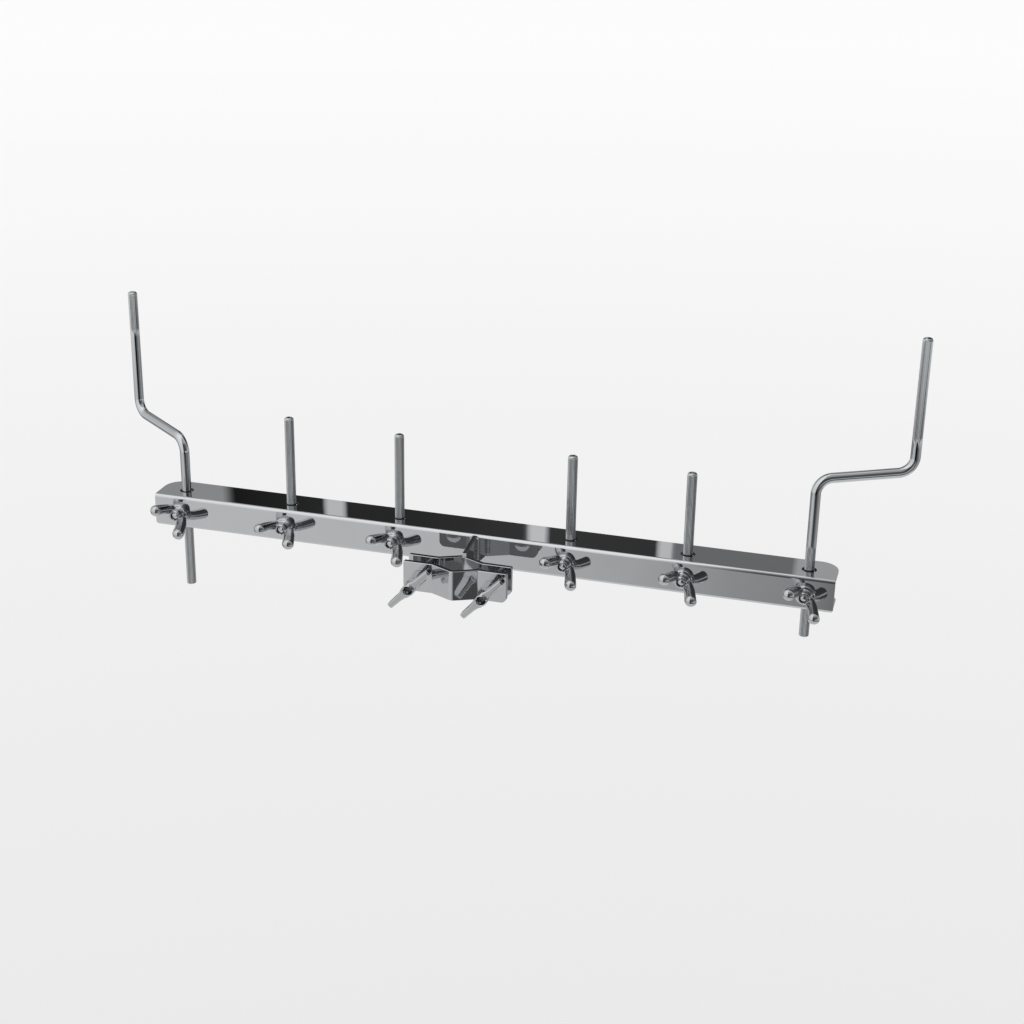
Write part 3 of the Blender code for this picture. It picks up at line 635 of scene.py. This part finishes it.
eye_reach = ROD_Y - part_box("eye_bolt_1")[0].y
rim_bore = EYE_BORE + EYE_BEVEL
rim = [(EYE_BORE, EYE_BEVEL - EYE_HALF), (EYE_BORE, EYE_HALF - EYE_BEVEL), (rim_bore, EYE_HALF)]
rim += arc((EYE_OUTER - EYE_ROUND, EYE_HALF - EYE_ROUND), EYE_ROUND, 90, 0, 6)
rim += arc((EYE_OUTER - EYE_ROUND, EYE_ROUND - EYE_HALF), EYE_ROUND, 0, -90, 6)
rim += [(rim_bore, -EYE_HALF)]
eye_ring = lathe("eye_ring", rim, ring=True)
collar_profile = [(0, COLLAR_FROM), (COLLAR_RADIUS, COLLAR_FROM), (COLLAR_RADIUS, COLLAR_TO),
                  (MAJOR, COLLAR_END), (0, COLLAR_END)]
collar = moved(lathe("collar", collar_profile, THREAD_AROUND), FORWARD)
shank = moved(threaded("shank", THREAD_FROM, eye_reach), FORWARD)
eye_mesh = gathered("eye_bolt", [eye_ring, collar, shank])
print("eye bolt", len(eye_mesh.polygons), "faces")

# %% [markdown]
# A washer is stamped flat and keeps the nut from scratching the plating. It is a closed
# profile turned once round, with both rims eased by a quarter of a millimetre.

# %% Washers
WASHER = 1.6 * MM
WASHER_EASE = 0.25 * MM
NUT_SEAT = 2.2 * MM  # the nuts' seats in front of the sheet: washer and two gaps


def washer_mesh(name, diameter):
    """A flat ring with eased rims."""
    inner, outer, ease = SCREW_HOLE, diameter / 2, WASHER_EASE
    profile = [(inner, ease), (inner, WASHER - ease), (inner + ease, WASHER), (outer - ease, WASHER),
               (outer, WASHER - ease), (outer, ease), (outer - ease, 0), (inner + ease, 0)]
    item = add_object(name, lathe(name, profile, ring=True))
    flat = item.modifiers.new("flat", "WEIGHTED_NORMAL")
    flat.mode = "FACE_AREA"
    return taken(settle(item))


rail_washer = washer_mesh("rail_washer", 21 * MM)
clamp_washer = washer_mesh("clamp_washer", 16 * MM)
for n, x in station_x.items():
    in_channel = Matrix.Translation((x, ROD_Y, rail_middle.z))
    on_web = Matrix.Translation((x, rail_low.y - GAP, rail_middle.z)) @ FORWARD
    fit(f"forged_eye_bolt_{n}", eye_mesh, in_channel, f"eye_{n}", [f"eye_bolt_{n}"],
        screw_chrome)
    fit(f"turned_rail_washer_{n}", rail_washer, on_web, "rack", [f"rail_washer_{n}"],
        screw_chrome)
print("washer", len(rail_washer.polygons), "faces")

# %% [markdown]
# The wing nuts are zinc castings, so nothing on them is sharp: hub and wings run together
# in fillets. Each is roughed out from overlapping solids, a voxel remesh skins them as one,
# and smoothing rounds the joins as the mould does. The seat and the bore are cut last,
# because on the real nut they are machined and stay crisp.

# %% Casting helpers
CAST_VOXEL = 0.4 * MM
BORE_RIM = 0.5 * MM  # chamfer round the mouth
CAST_CREASE = math.radians(38)


def skinned(name, meshes, passes):
    """Overlapping solids as one skin with soft joins."""
    item = add_object(name, gathered(name, meshes))
    skin = item.modifiers.new("skin", "REMESH")
    skin.mode = "VOXEL"
    skin.voxel_size = CAST_VOXEL
    skin.use_smooth_shade = True
    soften = item.modifiers.new("soften", "SMOOTH")
    soften.factor = 0.5
    soften.iterations = passes
    return settle(item)


def seat_cut(item):
    """Face the underside at Z = 0."""
    work = bmesh.new()
    work.from_mesh(item.data)
    parts = work.verts[:] + work.edges[:] + work.faces[:]
    cut = bmesh.ops.bisect_plane(work, geom=parts, plane_co=(0, 0, 0), plane_no=(0, 0, -1), clear_outer=True)
    rim_edges = [part for part in cut["geom_cut"] if isinstance(part, bmesh.types.BMEdge)]
    bmesh.ops.contextual_create(work, geom=rim_edges)
    item.data = store(item.name, work)
    return item


def bored(item, mouth, height, depth):
    """Bore a casting for its thread, with a wider mouth and a chamfered rim."""
    spare = 3 * MM
    mouth_foot = height - depth
    profile = [(0, height + spare), (mouth + BORE_RIM, height + spare), (mouth + BORE_RIM, height),
               (mouth, height - BORE_RIM), (mouth, mouth_foot), (SCREW_HOLE, mouth_foot - 0.4 * MM),
               (SCREW_HOLE, -1 * MM), (0, -1 * MM)]
    carve(item, lathe("bore", profile, 64))
    item.data.shade_smooth()
    item.data.set_sharp_from_angle(angle=CAST_CREASE)
    return taken(item)


def ball(centre, radii):
    """A squashed ball."""
    work = bmesh.new()
    bmesh.ops.create_uvsphere(work, u_segments=32, v_segments=20, radius=1)
    mesh = store("ball", work)
    return moved(mesh, Matrix.Translation(centre) @ Matrix.Diagonal((*radii, 1)))


print("casting helpers ready")

# %% [markdown]
# The rail's wing nuts have a low hub on a stepped base and two raised arms that end in
# knobs. An arm is a thin web with a chain of balls along its middle, which the remesh runs
# together to one round limb that grows towards the knob. Each nut was left at its own
# angle when it was tightened.

# %% Rail wing nuts
NUT_HUB = 11.5 * MM
NUT_BASE = 10.6 * MM
NUT_SPARE = 1.5 * MM  # length below the seat, cut off again
KNOB_X = 17.6 * MM
KNOB_Z = 29.8 * MM
KNOB = 6.1 * MM
WEB_THICKNESS = 7.4 * MM
WEB_EDGE = 2.6 * MM
ARM_BALLS = 14
ARM_OUT = ((0, 0.3, 0.7, 1), (8.6, 11.6, 15.2, 17.6))  # share of the arm, mm from the axis
ARM_UP = ((0, 0.3, 1), (6.2, 11.8, 29.8))  # share of the arm, mm above the seat
ARM_GIRTH, ARM_GROWTH = 5.1 * MM, 0.8 * MM
ARM_WIDTH = 1.12  # an arm's width, as a share of its depth
NUT_TURNS = {1: 136, 2: 158, 3: 144, 4: 143, 5: 145, 6: 140}

hub = lathe("hub", [
    (0, NUT_HUB), (5.6 * MM, NUT_HUB), (6.7 * MM, NUT_HUB - 0.9 * MM), (7.1 * MM, 4.7 * MM),
    (7.8 * MM, 3.7 * MM), (NUT_BASE - 0.8 * MM, 3.2 * MM), (NUT_BASE, 2.4 * MM),
    (NUT_BASE, -NUT_SPARE), (0, -NUT_SPARE)], 96)
lean = math.degrees(math.atan2(KNOB_X - 7.6 * MM, KNOB_Z - NUT_HUB / 2))
web = [(5.0 * MM, 0.8 * MM), (9.2 * MM, 1.6 * MM), (12.9 * MM, 5.8 * MM), (17.2 * MM, 13.4 * MM),
       (20.4 * MM, 20.6 * MM)]
web += arc((KNOB_X, KNOB_Z), KNOB - 0.6 * MM, -lean, 180 - lean, 12)
web += [(11.3 * MM, 21.4 * MM), (8.5 * MM, 14.2 * MM), (5.0 * MM, NUT_HUB - 1.8 * MM)]
webs = add_object("webs", slab("webs", both_sides(web), -WEB_THICKNESS / 2, WEB_THICKNESS / 2))
rough_nut = [hub, moved(taken(ease_edges(webs, WEB_EDGE, 3, 40)), FORWARD)]
for side_sign in (-1, 1):
    rough_nut.append(ball((side_sign * KNOB_X, 0, KNOB_Z), (KNOB, KNOB, KNOB)))
for i in range(ARM_BALLS):
    share = i / (ARM_BALLS - 1)
    out, up = np.interp(share, *ARM_OUT) * MM, np.interp(share, *ARM_UP) * MM
    girth = ARM_GIRTH + ARM_GROWTH * share
    for side_sign in (-1, 1):
        rough_nut.append(ball((side_sign * out, 0, up), (ARM_WIDTH * girth, girth, girth)))
rail_nut = bored(seat_cut(skinned("rail_nut", rough_nut, 5)), 4.6 * MM, NUT_HUB, 3.4 * MM)
for n, x in station_x.items():
    turn = Matrix.Rotation(math.radians(NUT_TURNS[n]), 4, "Z")
    place = Matrix.Translation((x, rail_low.y - NUT_SEAT, rail_middle.z)) @ FORWARD @ turn
    fit(f"cast_wing_nut_{n}", rail_nut, place, f"rail_nut_{n}", [f"rail_wing_nut_{n}"],
        cast_chrome)
print("rail wing nut", len(rail_nut.polygons), "faces")

# %% [markdown]
# The clamp's wing nuts are longer: a tall hub that reaches over the bolt's end, and one
# straight bar across its mouth for two fingers. The bar is drawn from above and then
# trimmed from the side, so that it tapers both ways.

# %% Clamp wing nuts
CLAMP_HUB = 34.4 * MM
BAR_HEIGHT = 26.6 * MM
BAR_HALF = 31 * MM
BAR_PAST = BAR_HALF + 6 * MM
BAR_EDGE = 1.5 * MM
CLAMP_SIDES = {"left": (-1, 46), "right": (1, 47)}  # side, angle it was left at

jaw_front = jaw_ear + JAW_SHEET / 2
hub = lathe("hub", [
    (0, CLAMP_HUB), (5.3 * MM, CLAMP_HUB), (6.3 * MM, CLAMP_HUB - 1 * MM), (6.9 * MM, 4 * MM),
    (7.5 * MM, 1.7 * MM), (7.5 * MM, -NUT_SPARE), (0, -NUT_SPARE)], 96)
above = [(BAR_HALF, 3.1 * MM), (15 * MM, 3.6 * MM), (9.5 * MM, 4.4 * MM), (6.0 * MM, 5.8 * MM)]
below = [(x, -y) for x, y in above[::-1]]
bar = add_object("bar", slab("bar", both_sides(below + above), -9 * MM, 9 * MM))
sides = [(6 * MM, -6.1 * MM), (BAR_PAST, -4.6 * MM), (BAR_PAST, 4.6 * MM), (6 * MM, 6.1 * MM)]
carve(bar, moved(slab("sides", both_sides(sides), -20 * MM, 20 * MM), FORWARD), "INTERSECT")
bar_mesh = moved(taken(ease_edges(bar, BAR_EDGE, 3, 40)), Matrix.Translation((0, 0, BAR_HEIGHT)))
clamp_nut = bored(seat_cut(skinned("clamp_nut", [hub, bar_mesh], 4)), 4.8 * MM, CLAMP_HUB, 11.4 * MM)
print("clamp nut", len(clamp_nut.polygons), "faces")

# %% [markdown]
# Two bolts with low round heads run through both jaws, with the heads behind the rear one.
# A head is turned from a quarter ellipse with a short upright rim. Bolt, washer and nut are
# then placed together on each side.

# %% Clamp bolts
HEAD_RADIUS = 9 * MM
HEAD_HEIGHT = 4.6 * MM
DOME_HEIGHT = 3.7 * MM
HEAD_RIM = 0.2 * MM
BOLT_REACH = 38 * MM  # tip in front of the tube's axis

head_top = -(jaw_front + GAP)
crown = head_top - HEAD_HEIGHT
dome = [(0, crown)]
for angle in range(10, 91, 8):
    a = math.radians(angle)
    dome.append((HEAD_RADIUS * math.sin(a), crown + DOME_HEIGHT * (1 - math.cos(a))))
dome += [(HEAD_RADIUS, head_top - HEAD_RIM), (HEAD_RADIUS - HEAD_RIM, head_top), (0, head_top)]
bolt_mesh = gathered("carriage_bolt", [lathe("head", dome), threaded("shank", head_top - 1 * MM, BOLT_REACH)])
for label, (side_sign, angle) in CLAMP_SIDES.items():
    x = side_sign * BOLT_X
    fit(f"carriage_bolt_{label}", bolt_mesh, Matrix.Translation((x, 0, 0)) @ FORWARD, "rack",
        [f"clamp_bolt_{label}"], screw_chrome)
    fit(f"turned_clamp_washer_{label}", clamp_washer, Matrix.Translation((x, -jaw_front - GAP, 0)) @ FORWARD,
        "front_jaw", [f"clamp_washer_{label}"], screw_chrome)
    turn = Matrix.Rotation(math.radians(angle), 4, "Z")
    place = Matrix.Translation((x, -jaw_front - NUT_SEAT, 0)) @ FORWARD @ turn
    fit(f"cast_clamp_nut_{label}", clamp_nut, place, f"clamp_nut_{label}", [f"clamp_wing_nut_{label}"],
        cast_chrome)
print("bolt", len(bolt_mesh.polygons), "faces")

# %% [markdown]
# The rods are 10.5 mm drawn steel with a straight knurl: fine flutes along the rod that
# stop a clamp from turning. A bump map would shade them, but only real flutes break the
# outline and the reflection, so the swept section has them. A real knurl is finer, about
# 0.8 mm apart, and would not show: these 24 flutes are 1.4 mm apart. Where a rod is smooth,
# their depth fades to nothing.
# The sweep keeps its section from twisting by turning each frame only as much as the path
# turns, so the flutes stay straight through a bend.

# %% Sweep with flutes
FLUTES = 24
AROUND = FLUTES * 8
FLUTE_DEPTH = 0.42 * MM
ROD_CREASE = math.radians(60)


def swept(name, stations):
    """A round rod through (point, radius share, flute share) stations."""
    points = [Vector(point) for point, _, _ in stations]
    angles = np.arange(AROUND) * 2 * math.pi / AROUND
    groove = 0.5 - 0.5 * np.cos(FLUTES * angles)
    across = Vector((1, 0, 0))
    rings = []
    last = len(points) - 1
    for i, (point, share, flute) in enumerate(stations):
        along = (points[min(i + 1, last)] - points[max(i - 1, 0)]).normalized()
        across = (across - along * across.dot(along)).normalized()
        other = along.cross(across)
        radius = ROD_RADIUS * share - FLUTE_DEPTH * flute * share * groove
        rings.append(np.outer(radius * np.cos(angles), across) + np.outer(radius * np.sin(angles), other)
                     + np.array(point))
    faces = []
    for i in range(last):
        for j in range(AROUND):
            k = (j + 1) % AROUND
            faces.append((i * AROUND + j, i * AROUND + k, (i + 1) * AROUND + k, (i + 1) * AROUND + j))
    faces.append(tuple(range(AROUND))[::-1])
    faces.append(tuple(range(last * AROUND, (last + 1) * AROUND)))
    mesh = bpy.data.meshes.new(name)
    mesh.from_pydata(np.concatenate(rings).tolist(), [], faces)
    mesh.shade_smooth()
    mesh.set_sharp_from_angle(angle=ROD_CREASE)
    return mesh


print(FLUTES, "flutes,", round(2 * math.pi * ROD_RADIUS / FLUTES / MM, 2), "mm apart")

# %% [markdown]
# A rod needs a ring wherever something changes: at the points of its path, at the steps of
# its domed tip and chamfered foot, and where the knurl fades. An even stretch gets a pair
# now and then, which keeps the shading of its flutes even.

# %% Stations along a rod
TIP_SHAPE = ((0.20, 0.0), (0.48, 0.10), (0.66, 0.32), (0.80, 0.75), (0.90, 1.3), (0.97, 2.0), (1.0, 2.8),
             (1.0, 3.4), (1.0, 4.6))  # radius share, mm from the tip
FOOT_SHAPE = ((0.93, 0.0), (1.0, 0.45), (1.0, 0.9), (1.0, 1.8))
FLUTE_CLEAR = 0.7 * MM  # the tip's dome stays free of flutes
FLUTE_RISE = 1.6 * MM
FLUTE_FADE = 4 * MM
RING_STEP = 2 * MM
EVEN_STEPS = 8  # an even stretch has rings at every eighth step


def radius_share(run, shape):
    """Radius share at a distance from an end of that shape."""
    return np.interp(run, [depth * MM for _, depth in shape], [share for share, _ in shape])


def rod_stations(path, knurled):
    """Stations along a path with a foot and a tip. knurled(run) gives the flute share."""
    lengths = [0.0]
    for before, after in zip(path, path[1:]):
        lengths.append(lengths[-1] + (after - before).length)
    total = lengths[-1]

    def at(run):
        i = max(1, next((k for k, length in enumerate(lengths) if length >= run), len(lengths) - 1))
        return path[i - 1].lerp(path[i], (run - lengths[i - 1]) / (lengths[i] - lengths[i - 1]))

    runs = {round(run, 6) for run in lengths[1:-1]}
    runs |= {round(depth * MM, 6) for _, depth in FOOT_SHAPE}
    runs |= {round(total - depth * MM, 6) for _, depth in TIP_SHAPE}
    for i in range(1, int(total / RING_STEP)):
        here, nearby = i * RING_STEP, (i + 1) * RING_STEP
        if knurled(here) != knurled(nearby) or i % EVEN_STEPS == 0:
            runs |= {round(here, 6), round(nearby, 6)}
    stations = []
    for run in sorted(r for r in runs if 0 <= r <= total):
        share = min(radius_share(run, FOOT_SHAPE), radius_share(total - run, TIP_SHAPE))
        rise = min(1.0, max(0.0, (total - run - FLUTE_CLEAR) / FLUTE_RISE))
        stations.append((at(run), float(share), knurled(run) * rise))
    return stations


def fade_between(run, zones):
    """Flute share at a run: 1 inside the knurled zones, 0 outside, with a short fade."""
    inside = max(min(run - low, high - run) for low, high in zones)
    return max(0.0, min(1.0, 0.5 + inside / FLUTE_FADE))


print("rod stations ready")

# %% [markdown]
# The four inner rods are straight and knurled all along, and cut to slightly different
# lengths.

# %% Straight rods
TOP_TRIM = {2: 5.0 * MM, 3: 0.3 * MM, 4: -1.2 * MM, 5: -4.7 * MM}  # over the solid's top

for n, longer in TOP_TRIM.items():
    low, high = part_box(f"straight_rod_{n}")
    x = (low.x + high.x) / 2
    path = [Vector((x, ROD_Y, low.z)), Vector((x, ROD_Y, high.z + longer))]
    mesh = swept(f"rod_{n}", rod_stations(path, lambda run: 1.0))
    fit(f"knurled_rod_{n}", mesh, HERE, f"rod_{n}", [f"straight_rod_{n}"], rod_chrome)
    print("straight rod", n, "length", round((path[1] - path[0]).length / MM, 1), "mm")

# %% [markdown]
# The outer two are bent twice, so that what they carry can swing out past the rail. They
# are the same rod, set at different heights and headings, and smooth where they are bent.

# %% Bent rods
LOWER_LEG, ARM, UPPER_LEG = 176 * MM, 101 * MM, 142 * MM
BEND = 17 * MM
ARM_TILT = math.radians(3.0)
bent = {1: {"rise": 61.6 * MM, "heading": 145.1, "foot_knurl": 104 * MM, "tip_knurl": 46 * MM},
        6: {"rise": 100.7 * MM, "heading": 22.6, "foot_knurl": 102 * MM, "tip_knurl": 108 * MM}}

for n, rod in bent.items():
    turn = math.radians(rod["heading"])
    level = math.cos(ARM_TILT)
    arm = Vector((level * math.cos(turn), level * math.sin(turn), math.sin(ARM_TILT))) * ARM
    lower = Vector((station_x[n], ROD_Y, rail_high.z + rod["rise"]))
    foot = lower - Vector((0, 0, LOWER_LEG))
    tip = lower + arm + Vector((0, 0, UPPER_LEG))
    path = rounded_path([foot, lower, lower + arm, tip], BEND, 28)
    total = sum((b - a).length for a, b in zip(path, path[1:]))
    zones = [(-1, rod["foot_knurl"]), (total - rod["tip_knurl"], total + 1)]
    mesh = swept(f"rod_{n}", rod_stations(path, lambda run: fade_between(run, zones)))
    fit(f"bent_rod_{n}", mesh, HERE, f"rod_{n}", [f"z_rod_{n}"], rod_chrome)
    print("bent rod", n, "length", round(total / MM), "mm,", len(mesh.polygons), "faces")

# %% [markdown]
# The floor is a pale sweep far below, as the rack stands at playing height. Its colour runs
# from a light grey near the camera to nearly white far off. The grey near the camera is
# painted shade, the backdrop dimming towards the front, and the white far off lets its end
# hardly show against the white world in a low view.

# %% Floor
FLOOR_Z = -1.5
FLOOR_HALF = 95.0
FLOOR_SHEET = 0.01
PAPER_NEAR, PAPER_FAR = 2.8, 16.8  # metres from the camera's foot

floor_outline = both_sides([(FLOOR_HALF, FLOOR_HALF), (FLOOR_HALF, -FLOOR_HALF)])
floor = add_object("studio_floor", slab("studio_floor", floor_outline, FLOOR_Z - FLOOR_SHEET, FLOOR_Z))
floor_paint, tree, output = new_material("matt_white_studio_paper")
place = add_node(tree, "ShaderNodeTexCoord").outputs["Object"]
apart = add_node(tree, "ShaderNodeVectorMath", {0: place, 1: (CAMERA_PLACE.x, CAMERA_PLACE.y, FLOOR_Z)},
                 operation="DISTANCE")
reach = add_node(tree, "ShaderNodeMapRange", {
    "Value": apart.outputs["Value"], "From Min": PAPER_NEAR, "From Max": PAPER_FAR})
# Painted shade: the paper's colour is greyer near the camera and whiter far off.
paper = add_node(tree, "ShaderNodeValToRGB", {"Fac": reach.outputs["Result"]}, stops=[
    (0.0, 0.80), (0.10, 0.835), (0.22, 0.875), (0.5, 0.94), (1.0, 0.985)])
surface = add_node(tree, "ShaderNodeBsdfPrincipled", {
    "Base Color": paper.outputs["Color"], "Roughness": 0.9, "Specular IOR Level": 0.0})
tree.links.new(surface.outputs["BSDF"], output.inputs["Surface"])
floor.data.materials.append(floor_paint)
print("floor at", FLOOR_Z, "m")

# %% [markdown]
# The world is plain white, and one large soft lamp overhead adds a faint shadow.

# %% World and lamp
LAMP_SIZE = 2.4
LAMP_POWER = 8
LAMP_PLACE = (-0.6, -0.4, 3.2)

world = bpy.data.worlds.new("studio_world")
bpy.context.scene.world = world
world.use_nodes = True
background = world.node_tree.nodes["Background"]
background.inputs["Color"].default_value = (1, 1, 1, 1)
background.inputs["Strength"].default_value = 1.0

lamp_data = bpy.data.lights.new("overhead_softbox", "AREA")
lamp_data.shape = "SQUARE"
lamp_data.size = LAMP_SIZE
lamp_data.energy = LAMP_POWER
lamp = bpy.data.objects.new("overhead_softbox", lamp_data)
bpy.context.scene.collection.objects.link(lamp)
lamp.location = LAMP_PLACE
print("lamp", LAMP_POWER, "W at", LAMP_PLACE)

# %% [markdown]
# Chrome has no look of its own: it shows the room. A photographer hangs a light tent round
# it, with dark cards where an edge needs a dark line. The tent here is a sphere that only
# reflections see, with its brightness painted by height and direction. A place round the
# sphere runs from 0 to 1: 0.25 is the rack's front, 0.5 its right, 0.75 its back and 0 its
# left. A height is given in degrees above the horizon.

# %% Light tent
TENT_RADIUS = 2.6

work = bmesh.new()
bmesh.ops.create_uvsphere(work, u_segments=96, v_segments=48, radius=TENT_RADIUS)
tent = add_object("light_tent", store("light_tent", work))
tent_glow, tree, output = new_material("light_tent_fabric")
place = add_node(tree, "ShaderNodeTexCoord").outputs["Object"]
direction = add_node(tree, "ShaderNodeVectorMath", {0: place}, operation="NORMALIZE")
height = add_node(tree, "ShaderNodeSeparateXYZ", {0: direction.outputs["Vector"]})
tent_level = add_node(tree, "ShaderNodeMapRange", {
    "Value": height.outputs["Z"], "From Min": -1.0, "From Max": 1.0}).outputs["Result"]
around = add_node(tree, "ShaderNodeTexGradient", {"Vector": place}, gradient_type="RADIAL").outputs["Fac"]


def by_height(stops):
    """A ramp of brightness over the height in degrees."""
    return add_node(tree, "ShaderNodeValToRGB", {"Fac": tent_level}, stops=[
        (0.5 + 0.5 * math.sin(math.radians(degrees)), shade) for degrees, shade in stops]).outputs["Color"]


def by_place(stops):
    """A ramp of brightness over the place round the sphere."""
    return add_node(tree, "ShaderNodeValToRGB", {"Fac": around}, stops=stops).outputs["Color"]


print("tent radius", TENT_RADIUS, "m")

# %% [markdown]
# In front hangs a bright bank that grows to white overhead. Behind drops a backdrop that is
# nearly black from 9 to 36 degrees, and the rail's upper flange mirrors it to the camera.
# Paler cards in it give the flange its light patches. They are narrow, so they get a ramp of
# their own over that part of the circle: a ramp is stored in 256 steps, and closer stops
# would blur.

# %% Bank and backdrop
CARDS_FROM, CARDS_TO = 0.72, 0.85
# Each card: where it starts and ends, and how fully the backdrop covers the bank at both
CARDS = ((0.72, 0.727, 1, 1), (0.728, 0.743, 0.57, 0.57), (0.7438, 0.7631, 0.82, 0.82),
         (0.7637, 0.7655, 0.35, 0.35), (0.7661, 0.7836, 0.97, 0.967), (0.7844, 0.7868, 0.3, 0.3),
         (0.7876, 0.806, 0.967, 0.985), (0.8062, 0.8165, 0.985, 0.985), (0.8172, 0.8198, 0.35, 0.35),
         (0.8205, 0.8345, 0.985, 1), (0.8362, 0.85, 0.66, 0.66))

front_bank = by_height([
    (-60, 0.62), (-30, 0.72), (-14, 0.74), (2, 0.76), (22, 0.85), (42, 0.92), (58, 1), (88, 1)])
rear_drop = by_height([
    (-60, 0.62), (-12, 0.6), (2, 0.3), (9, 0.02), (20, 0.012), (36, 0.012), (46, 0.06), (57, 0.2), (68, 0.6),
    (88, 0.85)])
rear_reach = by_place([(0, 0.28), (0.06, 0), (0.53, 0), (0.6, 0.75), (0.63, 1), (0.85, 1), (1, 0.42)])
card_place = add_node(tree, "ShaderNodeMapRange", {
    "Value": around, "From Min": CARDS_FROM, "From Max": CARDS_TO})
card_stops = []
for start, end, first_share, last_share in CARDS:
    card_stops += [((start - CARDS_FROM) / (CARDS_TO - CARDS_FROM), first_share),
                   ((end - CARDS_FROM) / (CARDS_TO - CARDS_FROM), last_share)]
cards = add_node(tree, "ShaderNodeValToRGB", {"Fac": card_place.outputs["Result"]}, stops=card_stops)
rear_share = add_node(tree, "ShaderNodeMath", {0: rear_reach, 1: cards.outputs["Color"]},
                      operation="MULTIPLY")
tent_mix = add_node(tree, "ShaderNodeMix", {0: rear_share.outputs["Value"], 6: front_bank, 7: rear_drop},
                    data_type="RGBA")
print(len(CARDS), "cards in the backdrop")

# %% [markdown]
# Three rings of darker cloth then go over bank and backdrop. The low ring is what upright
# faces and rods mirror towards the camera: pale on the left and dark on the right, as the
# web of the rail is. The fold ring, just under the horizon, gives the rail's upper fold its
# dark edge on the right, and the right ring darkens all that is turned to the right.

# %% Dark rings
TENT_STRENGTH = 1.3


def ring_over(base, heights, places):
    """Darken the tent by a ramp over the place, where the ramp over the height is 1."""
    return add_node(tree, "ShaderNodeMix", {0: by_height(heights), 6: base.outputs[2], 7: by_place(places)},
                    data_type="RGBA", blend_type="MULTIPLY")


low_ring = ring_over(tent_mix, [(-44, 0), (-34, 1), (-14, 1), (-10, 0)], [
    (0, 0.5), (0.05, 0.74), (0.09, 0.78), (0.165, 0.82), (0.1964, 0.76), (0.2095, 0.7), (0.229, 0.61),
    (0.246, 0.45), (0.257, 0.4), (0.266, 0.2), (0.285, 0.12), (0.33, 0.08), (0.385, 0.13), (0.43, 0.28),
    (0.5, 0.48), (0.55, 0.62), (0.61, 0.45), (0.68, 0.52), (0.72, 0.34), (0.8, 0.3), (0.85, 0.34),
    (0.92, 0.38), (1, 0.42)])
fold_ring = ring_over(low_ring, [(-21, 0), (-17, 1), (-3, 1), (0, 0)], [
    (0, 1), (0.228, 1), (0.239, 0.55), (0.248, 0.08), (0.262, 0.06), (0.33, 0.08), (0.36, 0.8), (1, 1)])
right_ring = ring_over(fold_ring, [(-4, 0), (0, 1), (38, 1), (48, 0.7), (78, 0.7), (86, 0)], [
    (0, 1), (0.228, 1), (0.239, 0.55), (0.248, 0.14), (0.262, 0.08), (0.33, 0.08), (0.47, 0.16),
    (0.53, 0.35), (0.58, 1), (1, 1)])
glow = add_node(tree, "ShaderNodeEmission", {"Color": right_ring.outputs[2], "Strength": TENT_STRENGTH})
tree.links.new(glow.outputs["Emission"], output.inputs["Surface"])
tent.data.materials.append(tent_glow)
tent.visible_camera = False
tent.visible_diffuse = False
tent.visible_shadow = False
tent.visible_transmission = False
tent.visible_volume_scatter = False
print("tent nodes", len(tree.nodes))
